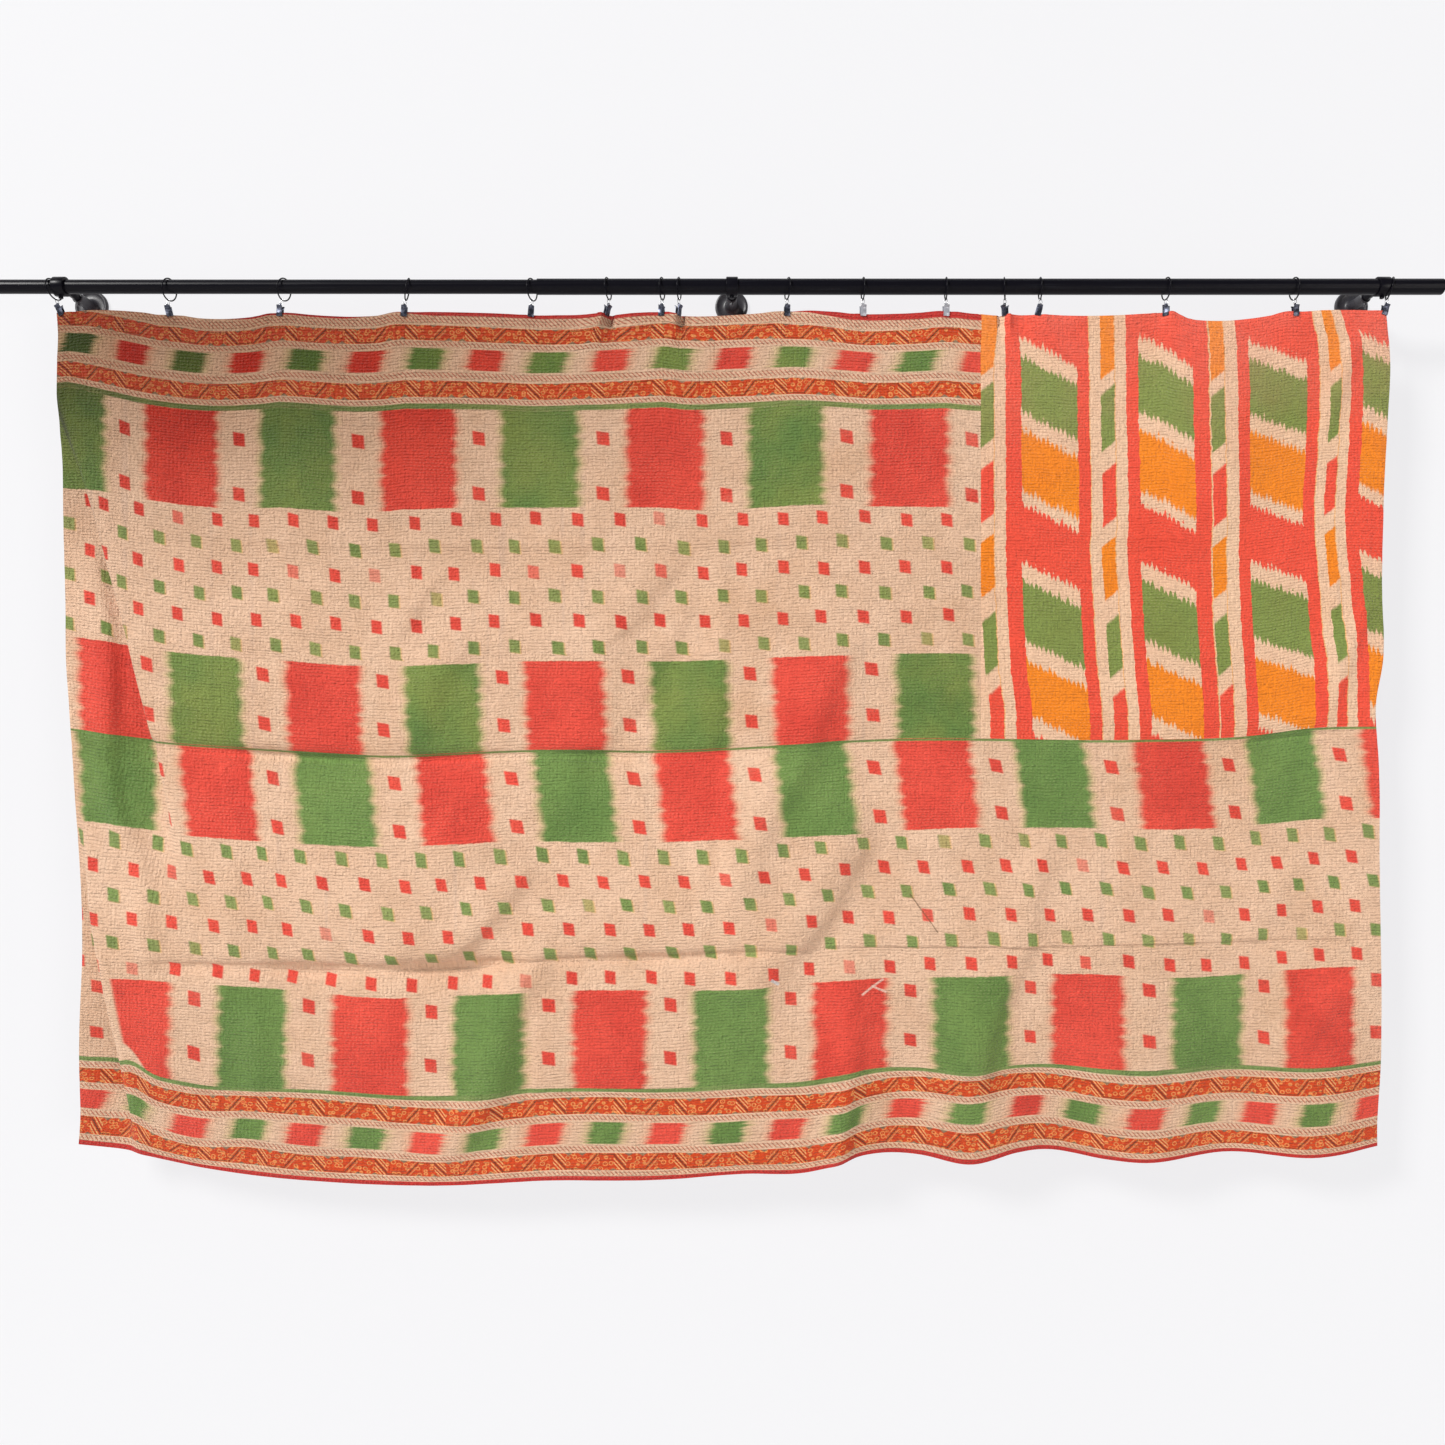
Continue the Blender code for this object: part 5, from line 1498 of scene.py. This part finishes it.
def sari_cotton(name, layout):
    """The printed sari: each part of the print is laid over the cream ground in turn."""
    material, tree, shader = plain_material(name, CREAM, 0.88)
    count, level, age_and_shade = apart(tree, surface_value(tree, "print"))
    u, v, _ = apart(tree, surface_value(tree, "flat"))
    across, fall = u / STEP, v / STEP

    tint = noise(tree, (u * 11.0, v * 9.0, 2.0), 1.0, 4.0, 0.6)
    colour = painted(tree, tint.rising(0.30, 0.72), CREAM, CREAM_SHADED)
    wash = noise(tree, (u * 9.0, v * 7.0, 8.0), 1.0, 3.0, 0.6)
    # The red and the green take on age toning and painted shade where the cream does.
    red = dyed(tree, age_and_shade * age_and_shade * 1.5, painted(tree, wash.rising(0.34, 0.70), RED, RED_DEEP), RED_AGE_AND_SHADE)
    green = painted(tree, wash.rising(0.30, 0.72), layout.green, GREEN_DEEP)
    green = dyed(tree, age_and_shade * age_and_shade * age_and_shade * age_and_shade * 1.5, green, GREEN_AGE_AND_SHADE)

    # The blocks: two rows, red and green by turns, their sides frayed as an ikat's are, where
    # its threads took the dye unevenly.
    first, second = layout.blocks
    late = level.over((first.foot + second.top) / 2.0)
    middle = (count - pick(late, first.red, second.red)) / 3.0
    turn = middle.sum("ROUND")
    beside = (middle - turn) * 3.0
    is_green = turn.sum("FLOORED_MODULO", 2.0)
    side = beside.sum("SIGN")
    fray_place = (turn * 5.3 + side * 1.9 + late * 31.0, level * 0.30, 0.0)
    sway_place = (turn * 7.1 + side * 2.3 + late * 13.0, level * 0.022, 7.0)
    streak_place = (turn * 3.1 + side * 2.7 + late * 17.0, level * 0.75, 3.0)
    fray = noise(tree, fray_place, 1.0, 2.0, 0.6)
    sway = noise(tree, sway_place, 1.0, 1.0)
    lobe = ((level * 0.168 + sway * 9.0 + side).sum("SINE")).sum("ABSOLUTE")
    streak = noise(tree, streak_place, 1.0, 2.0, 0.7)
    half = pick(late, first.half, second.half) + (lobe - 0.64) * 0.098
    half = half + (fray - 0.5) * 0.09 + (streak - 0.5) * 0.09
    over = beside.sum("ABSOLUTE") - half
    ragged_place = (across * 0.11, level * 0.02, 5.0)
    ragged = (noise(tree, ragged_place, 1.0, 3.0, 0.6) - 0.5) * 2.4
    from_top = level - pick(late, first.top, second.top) + ragged
    from_foot = pick(late, first.foot, second.foot) - level - ragged
    tall = from_top.rising(-0.5, 0.7) * from_foot.rising(-0.5, 0.7)
    from_left = across - STEPS_FROM / STEP
    if layout.flipped:
        # The pleat at the left has swallowed part of the first lower block, along a slant that
        # begins 74 steps in at the block's top, level 669, and is much flatter below level 744.
        corner = (level - 744.0).sum("MAXIMUM", 0.0) * 0.8
        shown = (from_left - (level - 669.0) * 0.17 - corner - 74.0).rising(-2.5, 2.5)
        tall = tall * (late * (shown - 1.0) + 1.0)
    halo = over.rising(0.230, -0.02) * tall
    block = over.rising(0.105, -0.115) * tall
    block_colour = painted(tree, is_green, red, green)
    soft_colour = painted(tree, is_green, RED_SOFT, GREEN_SOFT)
    colour = painted(tree, halo * 0.50, colour, soft_colour)
    colour = painted(tree, block, colour, block_colour)

    # The squares between the blocks, all red, and the six rows of dots, red and green by turns.
    gap = middle + 0.5
    gap_aside = (gap - gap.sum("ROUND")) * 121.0
    first_low, second_low = sum(first.squares) / 2.0, sum(second.squares) / 2.0
    low_square = (level - pick(late, first_low, second_low)).over(0.0)
    upper_square = pick(late, first.squares[0], second.squares[0])
    lower_square = pick(late, first.squares[1], second.squares[1])
    square_below = level - upper_square - low_square * (lower_square - upper_square) + ragged * 0.4
    square = slanted_mark(gap_aside, square_below, 6.0, 6.6)

    dot_top, dot_pitch, dot_green = layout.dots
    row = ((level - dot_top) / dot_pitch).sum("ROUND").sum("MAXIMUM", 0.0).sum("MINIMUM", 5.0)
    dot_is_green = (row + dot_green).sum("FLOORED_MODULO", 2.0)
    place = count - dot_is_green * 0.5
    number = place.sum("ROUND")
    dot_aside = (place - number) * 40.4
    dot_below = level - dot_top - row * dot_pitch
    lot = tree.nodes.new("ShaderNodeTexWhiteNoise")
    lot.noise_dimensions = "2D"
    tree.links.new(together(tree, number * 1.37 + 3.1, row * 2.71 + dot_green * 17.0), lot.inputs["Vector"])
    chance, swing, push = apart(tree, lot.outputs["Color"])
    dot_aside = dot_aside + (swing - 0.5) * 3.6
    dot_below = dot_below + (push - 0.5) * 3.4 + ragged * 0.4
    dot = slanted_mark(dot_aside, dot_below, 5.3, 6.3) * (chance.rising(0.0, 0.07) * 0.45 + 0.55)
    rim = slanted_mark(dot_aside - 1.3, dot_below - 0.5, 5.3, 6.3) * dot_is_green
    colour = painted(tree, rim * 0.55, colour, FADED_EDGE)
    dot_green_dye = painted(tree, tint.rising(0.2, 0.8) * 0.40, green, GREEN_SOFT)
    colour = painted(tree, dot, colour, painted(tree, dot_is_green, red, dot_green_dye))
    colour = painted(tree, square * (tint.rising(0.15, 0.5) * 0.3 + 0.7), colour, red)

    # The green lines, which run into the green blocks.
    for top, foot in layout.green_lines:
        line = between(level + ragged * 0.25, top, foot, 0.5)
        colour = painted(tree, line * 0.94, colour, green)

    # The small ikat blocks in the border: a leaning middle, and threads of dye that trail off
    # to the upper right and the lower left.
    top, foot = layout.ikat
    lifted = (level - top) / (foot - top)
    leaned = (count - layout.ikat_green) / 1.5 + (lifted - 0.5) * 0.030
    small_turn = leaned.sum("ROUND")
    small_beside = (leaned - small_turn) * 1.5
    small_red = small_turn.sum("FLOORED_MODULO", 2.0)
    to_right = small_beside.over(0.0)
    trail = to_right * (lifted * -1.0 + 1.0) + (to_right * -1.0 + 1.0) * lifted
    thread = noise(tree, (small_turn * 3.7 + to_right, level * 0.55, 2.0), 1.0, 3.0, 0.7)
    reach = small_beside.sum("ABSOLUTE") - 0.325
    reach = reach - (thread - 0.42) * (trail * 0.62 + 0.14) - trail * 0.05
    frayed = level + ragged * 0.2
    tall = frayed.rising(top - 0.5, top + 0.6) * frayed.rising(foot + 0.5, foot - 0.6)
    small = reach.rising(0.130, -0.090) * tall
    small_soft = reach.rising(0.34, 0.0) * tall
    # The border's small green blocks take on age toning and painted shade too.
    green_small = dyed(tree, age_and_shade, green, BORDER_GREEN_AGE_AND_SHADE)
    soft_small = painted(tree, small_red, GREEN_SOFT, RED_SOFT)
    colour = painted(tree, small_soft * 0.55, colour, soft_small)
    colour = painted(tree, small, colour, painted(tree, small_red, green_small, red))

    # The ropes: pale bands with slanting strokes of dye.
    stroke_place = (across - level) / 4.50 + (tint - 0.5) * 0.5
    stroke = stroke_place.sum("FRACT")
    stroke = (stroke - 0.5).sum("ABSOLUTE").rising(0.25, 0.09)
    for top, foot in layout.ropes:
        high, low = top + 0.12 * (foot - top), foot - 0.12 * (foot - top)
        band = level.rising(high - 0.4, high + 0.7) * level.rising(low + 0.4, low - 0.7)
        colour = painted(tree, band * (stroke * 0.92 + 0.03), colour, ROPE_STROKE)

    # The figured bands: orange-red, with small pale rings and dots, and a dark line that steps
    # up and down across them with pale lines beside it, grey arches below it and above it.
    wave = (count - layout.ikat_green) / (-1.5 if layout.flipped else 1.5)
    wave_side = wave - wave.sum("ROUND")
    spread = wave_side.sum("ABSOLUTE") * 2.0
    climb = spread.sum("SUBTRACT", 0.275) / 0.41
    climb = climb.sum("MAXIMUM", 0.0).sum("MINIMUM", 1.0)
    on_slope = climb.over(0.001) * climb.under(0.999)
    rings = tree.nodes.new("ShaderNodeTexVoronoi")
    rings.inputs["Scale"].default_value = 1.0
    rings.inputs["Randomness"].default_value = 0.75
    tree.links.new(together(tree, across * 0.155, fall * 0.180, 0.3), rings.inputs["Vector"])
    ring_away = Reading(tree, rings.outputs["Distance"])
    figure = (ring_away - 0.33).sum("ABSOLUTE").rising(0.12, 0.04) + ring_away.rising(0.12, 0.05)
    speckle = noise(tree, (across * 0.9, fall * 0.9, 3.3), 1.0, 2.0)
    for top, foot in layout.figured:
        tall = foot - top
        sunk = (-level + foot) if layout.flipped else (level - top)
        line_at = (climb * -1.0 + 1.0) * (tall - 2.6) + 1.3
        off = (sunk - line_at) * (on_slope * -0.33 + 1.0)
        away = off.sum("ABSOLUTE")
        band = between(level, top, foot, 0.35)
        field = painted(tree, speckle.rising(0.38, 0.66), BORDER_GROUND, BORDER_SPECKLED)
        field = painted(tree, (figure * 0.85).sum("MINIMUM", 1.0), field, BORDER_PALE)
        falls = wave_side.under(0.0)
        near_line = (away - 2.3).sum("ABSOLUTE").rising(0.90, 0.35)
        far_line = (away - 5.0).sum("ABSOLUTE").rising(0.90, 0.35)
        beside_line = near_line + far_line * falls
        plain_zone = away.rising(6.2, 5.8) * on_slope * (falls * 0.5 + 0.5)
        field = painted(tree, plain_zone * 0.95, field, BORDER_PLAIN)
        beside_line = beside_line * on_slope * (falls * 0.45 + 0.50)
        field = painted(tree, beside_line, field, BORDER_LINE)
        field = painted(tree, away.rising(0.80, 0.35) * (on_slope * 0.30 + 0.50), field, BORDER_DARK)
        arch_low = (spread - 0.776).sum("ABSOLUTE") * 30.0
        low_away = ((sunk - tall) / 2.9).sum("ABSOLUTE") + arch_low / 4.2
        arch_high = (spread - 0.265).sum("ABSOLUTE") * 30.0
        high_away = (sunk / 1.9).sum("ABSOLUTE") + arch_high / 3.8
        field = painted(tree, low_away.rising(1.06, 0.86) * 0.8, field, BORDER_GREY)
        field = painted(tree, high_away.rising(1.06, 0.86) * 0.8, field, BORDER_GREY)
        colour = painted(tree, band, colour, field)

    # Wear: each mark is a straight streak from one place to another.
    for (start_x, start_z), (end_x, end_z), half, shade in layout.wear:
        run = math.hypot(end_x - start_x, end_z - start_z)
        ahead, lower = (end_x - start_x) / run, (end_z - start_z) / run
        along = (from_left - start_x) * ahead + (fall - start_z) * lower
        beside = (fall - start_z) * ahead - (from_left - start_x) * lower
        beside = (beside + ragged * 0.5).sum("ABSOLUTE")
        mark = along.rising(-1.0, 1.0) * (-along + run).rising(-1.0, 1.0)
        mark = beside.rising(half + 0.7, half - 0.4) * mark
        colour = painted(tree, mark * 0.75, colour, shade)

    # The red edge of the backing, folded over the quilt's edge and sewn down. At the top it shows
    # in three strips of different widths.
    if layout.red_edge:
        shown = (level + ragged * 0.3).rising(layout.red_edge - 0.5, layout.red_edge + 0.5)
    else:
        width = u.rising(-0.84, -0.78) * u.rising(-0.58, -0.64) * 0.0036
        width = width + u.rising(-0.57, -0.48) * u.rising(-0.085, -0.12) * 0.0062
        width = width + u.rising(0.08, 0.20) * 0.0108
        shown = (v - width).rising(0.0006, -0.0006)
    colour = painted(tree, shown, colour, EDGE_RED)

    sewn_cotton(tree, shader, colour, age_and_shade, 0.11, 1.0)
    return material


# The patch: part of another sari, its columns of red, cream and ikat figures running down, laid
# over the upper right and sewn on round its edge. Its figures are in steps of 0.545 mm.
PATCH_STEP = 0.0005447
PATCH_FROM = 0.3848
PATCH_CREAM = (0.870, 0.585, 0.400)
PATCH_RED = (0.890, 0.093, 0.053)
PATCH_ORANGE = (0.930, 0.262, 0.016)
PATCH_GREEN = (0.225, 0.300, 0.074)
PATCH_RIM = (0.900, 0.400, 0.080)
PATCH_BLED = (0.88, 0.42, 0.34)
PATCH_CLOUD = (0.93, 0.84, 0.82)

# How far the columns wander to the right, by step down, at four places across.
DRIFT_ACROSS = (55.0, 420.0, 745.0, 1105.0)
DRIFT_DOWN = (0, 100, 200, 300, 450, 600, 700, 850, 950, 1080, 1200, 1290)
DRIFT = (
    (0, 0, 0, 0, 0, 0, 0, 3, 8, 14, 30, 32),
    (-6, -2, 0, 0, 5, 8, 3, 12, 15, 24, 38, 40),
    (-8, -3, 0, 2, 7, 10, 12, 14, 18, 28, 36, 38),
    (-35, -8, 0, 0, -5, -15, -15, 0, 5, 18, 20, 22),
)

# The columns from left to right: where each starts, and 0 for cream, 1 for red, 2 for small
# figures, 3 for large ones.
COLUMNS = (
    (0, 0), (33, 2), (75, 0), (112, 1), (155, 3), (325, 1), (362, 0), (402, 2), (440, 0),
    (478, 1), (515, 3), (675, 1), (718, 0), (722, 2), (768, 0), (805, 1), (845, 3), (1025, 1),
    (1062, 0), (1088, 2), (1120, 0), (1150, 1), (1188, 3),
)
LARGE_FROM = (155.0, 515.0, 845.0, 1188.0)
SMALL_FROM = (33.0, 402.0, 722.0, 1088.0)
LARGE_MIDDLE = 75.0
SMALL_MIDDLE = 20.0
TOOTH_WIDTH = 13.0

# What follows what down a large figure and a small one, from the given step down.
LARGE = (
    (0, PATCH_RED), (66, PATCH_CREAM), (122, PATCH_GREEN), (291, PATCH_CREAM),
    (345, PATCH_ORANGE), (531, PATCH_CREAM), (571, PATCH_RED), (746, PATCH_CREAM),
    (801, PATCH_GREEN), (986, PATCH_CREAM), (1046, PATCH_ORANGE), (1216, PATCH_CREAM),
    (1268, PATCH_RED),
)
SMALL = (
    (0, PATCH_ORANGE), (193, PATCH_CREAM), (240, PATCH_GREEN), (414, PATCH_CREAM),
    (480, PATCH_RED), (644, PATCH_CREAM), (703, PATCH_ORANGE), (868, PATCH_CREAM),
    (940, PATCH_GREEN), (1104, PATCH_CREAM), (1164, PATCH_RED),
)


def in_turn(tree, reading, stops, span, soft):
    """A colour for each stretch of a reading, with edges `soft` wide between the stretches."""
    node = tree.nodes.new("ShaderNodeValToRGB")
    ramp = node.color_ramp
    ramp.interpolation = "LINEAR" if soft else "CONSTANT"
    places = [(0.0, stops[0][1])]
    for (_, before), (start, colour) in zip(stops, stops[1:]):
        if soft:
            places.append(((start - soft) / span, before))
            places.append(((start + soft) / span, colour))
        else:
            places.append((start / span, colour))
    while len(ramp.elements) < len(places):
        ramp.elements.new(1.0)
    for element, (position, colour) in zip(ramp.elements, places):
        element.position = position
        element.color = (*colour, 1.0)
    tree.links.new((reading / span).socket, node.inputs["Fac"])
    return node.outputs["Color"]


def patch_cotton(name):
    """The patch: a ramp across tells the column, and a ramp down each figure its colour."""
    material, tree, shader = plain_material(name, PATCH_CREAM, 0.88)
    across, fall, age_and_shade = apart(tree, surface_value(tree, "print"))
    u, v, _ = apart(tree, surface_value(tree, "flat"))
    shiver = noise(tree, (across * 0.010, fall * 0.030, 0.0), 1.0, 4.0, 0.62)
    edged = across + (shiver - 0.5) * 13.0
    kinds = [(start, (kind / 3.0,) * 3) for start, kind in COLUMNS]
    kind = apart(tree, in_turn(tree, edged, kinds, 1320.0, 0.0))[0] * 3.0
    kind_before = apart(tree, in_turn(tree, edged - 3.0, kinds, 1320.0, 0.0))[0] * 3.0

    # The teeth of the large figures: narrow tongues of dye, each of its own length, that reach
    # up from every edge.
    large_from = across * 0.0 + LARGE_FROM[0]
    small_from = across * 0.0 + SMALL_FROM[0]
    for before, after in zip(LARGE_FROM, LARGE_FROM[1:]):
        passed = across.over((before + after) / 2.0 + LARGE_MIDDLE)
        large_from = large_from + passed * (after - before)
    for before, after in zip(SMALL_FROM, SMALL_FROM[1:]):
        passed = across.over((before + after) / 2.0 + SMALL_MIDDLE)
        small_from = small_from + passed * (after - before)
    inside = across - large_from
    tooth = inside / TOOTH_WIDTH + (shiver - 0.5) * 0.5
    tooth_number = tooth.sum("FLOOR")
    lot = tree.nodes.new("ShaderNodeTexWhiteNoise")
    lot.noise_dimensions = "2D"
    band_number = ((fall - inside * 0.48) / 57.0).sum("FLOOR")
    tree.links.new(together(tree, tooth_number * 1.7 + large_from, band_number * 3.1), lot.inputs["Vector"])
    long, _, _ = apart(tree, lot.outputs["Color"])
    bow = (tooth - tooth_number - 0.5).sum("ABSOLUTE") * 2.0
    fringe = noise(tree, (across * 0.16, fall * 0.010, 4.0), 1.0, 2.5, 0.7)
    tongue = (bow * -1.0 + 1.0).sum("POWER", 0.7) * (long * 20.0 + 9.0) + (fringe - 0.5) * 26.0
    down_large = fall - inside * 0.485 + tongue - 14.0
    large = in_turn(tree, down_large, LARGE, 1400.0, 2.2)
    nap = noise(tree, (across * 0.12, fall * 0.03, 1.0), 1.0, 2.5, 0.7)
    down_small = fall + (across - small_from) * 0.80 + (nap - 0.5) * 14.0
    small = in_turn(tree, down_small, SMALL, 1400.0, 2.0)

    cloud = noise(tree, (u * 8.0, v * 6.0, 4.0), 1.0, 4.0, 0.6)
    colour = painted(tree, kind_before.over(0.5) * 0.6, PATCH_CREAM, PATCH_RIM)
    coloured = painted(tree, kind.over(1.5), PATCH_RED, small)
    coloured = painted(tree, kind.over(2.5), coloured, large)
    colour = painted(tree, kind.over(0.5), colour, coloured)
    bled = v.rising(0.30, 0.0) * (cloud.rising(0.35, 0.7) * 0.16 + 0.04)
    colour = painted(tree, bled, colour, PATCH_BLED)
    colour = dyed(tree, cloud.rising(0.35, 0.75) * 0.7, colour, PATCH_CLOUD)
    sewn_cotton(tree, shader, colour, age_and_shade, 0.12, 0.9)
    return material


def patch_places(flat_x, down):
    """Steps across and down the patch, after its columns' wander is taken off."""
    across, fall = (flat_x - PATCH_FROM) / PATCH_STEP, down / PATCH_STEP
    drift = np.stack([np.interp(fall, DRIFT_DOWN, row) for row in DRIFT])
    place = np.clip(np.interp(across, DRIFT_ACROSS, range(4)), 0.0, 2.999)
    left = np.floor(place).astype(int)
    share = eased(place - left)
    before = np.take_along_axis(drift, left[None], axis=0)[0]
    after = np.take_along_axis(drift, left[None] + 1, axis=0)[0]
    return across - before - (after - before) * share, fall


# The backing: plain soft red cotton, sewn to the front by the rows of running stitch. Its edge
# is turned over the front's, and shows as a thin red rim along the top and the foot.
BACK_RED = (0.430, 0.040, 0.034)
BACK_RED_WORN = (0.485, 0.052, 0.041)

back_red, back_tree, back_shader = plain_material("backing_cotton", BACK_RED, 0.9)
back_u, back_v, _ = apart(back_tree, surface_value(back_tree, "flat"))
back_cloud = noise(back_tree, (back_u * 6.0, back_v * 6.0, 2.0), 1.0, 5.0, 0.6)
back_colour = painted(back_tree, back_cloud.rising(0.3, 0.75), BACK_RED, BACK_RED_WORN)
sewn_cotton(back_tree, back_shader, back_colour, back_cloud * 0.16, 0.85, 1.0)


# The four pieces of cloth, cut, printed and laid on the quilt's shape: the sari's two halves and
# the patch in front, joined where they meet, and the backing behind them. All are sheets of
# cotton that hang from the sixteen clips.
PATCH_LEFT = 0.4015
PATCH_OVERLAP = 0.006
PATCH_PROUD = 0.0004


def keep_print(piece, across, down, age_and_shade):
    """Stores the print's places, and the cloth's age toning and painted shade, at each point of the piece.
    """
    places = np.stack([across, down, age_and_shade + 0.0 * across], axis=-1)
    value = piece.data.attributes.new("print", "FLOAT_VECTOR", "POINT")
    value.data.foreach_set("vector", places.astype(np.float32).ravel())


flat_left, flat_right = side_places(np.array([0.0]))
bites = [(low - 0.016, high + 0.016) for low, high in NIP_SPANS]
pleated = (-1.20, -0.900)

upper_right = PATCH_LEFT + PATCH_OVERLAP
upper_columns = spread_places(flat_left[0], upper_right, 0.0078, 0.0052, bites + [pleated])
upper_levels = np.linspace(0.0, SEAM, UPPER_ROWS * LEVELS_A_ROW + 1)
upper_flat = grid_between(upper_columns, upper_levels, True, False)
upper_down = stitched_down(upper_flat, upper_levels)
upper_phase = np.arange(len(upper_levels))[:, None] / LEVELS_A_ROW
upper_half = cloth(
    "sari_upper_half", upper_flat, upper_down, upper_phase, 1.0, 0.0, 1.0, ["top", "left"],
    sari_cotton("sari_upper_cotton", UPPER_LAYOUT),
)
# Painted shade and age toning darken the upper half most at its top left.
upper_age_and_shade = (1.0 - eased(upper_down / 0.52)) * (1.0 - 0.90 * eased((upper_flat + 1.05) / 1.50))
upper_age_and_shade = 0.05 + 0.87 * upper_age_and_shade
# Along the first pleat the darkening is painted shade of the pleat's step.
_, tucked, beside = pleat_share(PLEATS[0], upper_flat, -0.04 - upper_down)
upper_age_and_shade = upper_age_and_shade + 0.50 * tucked * np.exp(-((beside / 0.012) ** 2))
keep_print(upper_half, *print_places(upper_flat, upper_down, UPPER_LINES, UPPER_COUNT), upper_age_and_shade)

folded = (-0.57, 0.54)
lower_columns = spread_places(flat_left[0], flat_right[0], 0.0145, 0.0076, [pleated, folded])
lower_levels = np.linspace(SEAM, HEM, LOWER_ROWS * LEVELS_A_ROW + 1)
lower_flat = grid_between(lower_columns, lower_levels)
lower_down = stitched_down(lower_flat, lower_levels)
lower_phase = np.arange(len(lower_levels))[:, None] / LEVELS_A_ROW + UPPER_ROWS
lower_half = cloth(
    "sari_lower_half", lower_flat, lower_down, lower_phase, 1.0, 0.0, 1.0, ["foot", "left", "right"],
    sari_cotton("sari_lower_cotton", LOWER_LAYOUT),
)
# The lower half is darkened a little towards its foot, and along its left edge by painted shade.
lower_age_and_shade = 0.10 * eased((lower_down - 0.95) / 0.40)
lower_age_and_shade = lower_age_and_shade + 0.10 * (1.0 - eased((lower_flat + 1.10) / 0.12))
keep_print(lower_half, *print_places(lower_flat, lower_down, LOWER_LINES, LOWER_COUNT), lower_age_and_shade)

patch_columns = spread_places(PATCH_LEFT, flat_right[0], 0.0065, 0.0045, bites)
patch_flat = grid_between(patch_columns, upper_levels, False, True)
patch_down = stitched_down(patch_flat, upper_levels)
patch_cloth = cloth(
    "patch_cloth", patch_flat, patch_down, upper_phase, 1.0, PATCH_PROUD, 0.8,
    ["top", "left", "right"], patch_cotton("patch_cotton"),
)
keep_print(patch_cloth, *patch_places(patch_flat, patch_down), 0.04)

back_columns = spread_places(flat_left[0], flat_right[0], 0.0125, 0.0075, bites + [pleated])
back_bends = [(SEAM - 0.02, SEAM + 0.03), (CREASE - 0.03, CREASE + 0.04)]
back_levels = spread_places(0.0, HEM, 0.0036, 0.0017, back_bends)
back_flat = grid_between(back_columns, back_levels)
back_down = stitched_down(back_flat, back_levels)
back_phase = back_down / STITCH_PITCH
back_cloth = cloth(
    "back_cloth", back_flat, back_down, back_phase, -1.0, 0.0, 0.0,
    ["top", "foot", "left", "right"], back_red,
)
for piece, flat_size in (
    (upper_half, (1.506, 0.703)),
    (lower_half, (2.170, 0.698)),
    (patch_cloth, (0.668, 0.703)),
    (back_cloth, (2.170, 1.401)),
):
    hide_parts("quilt")
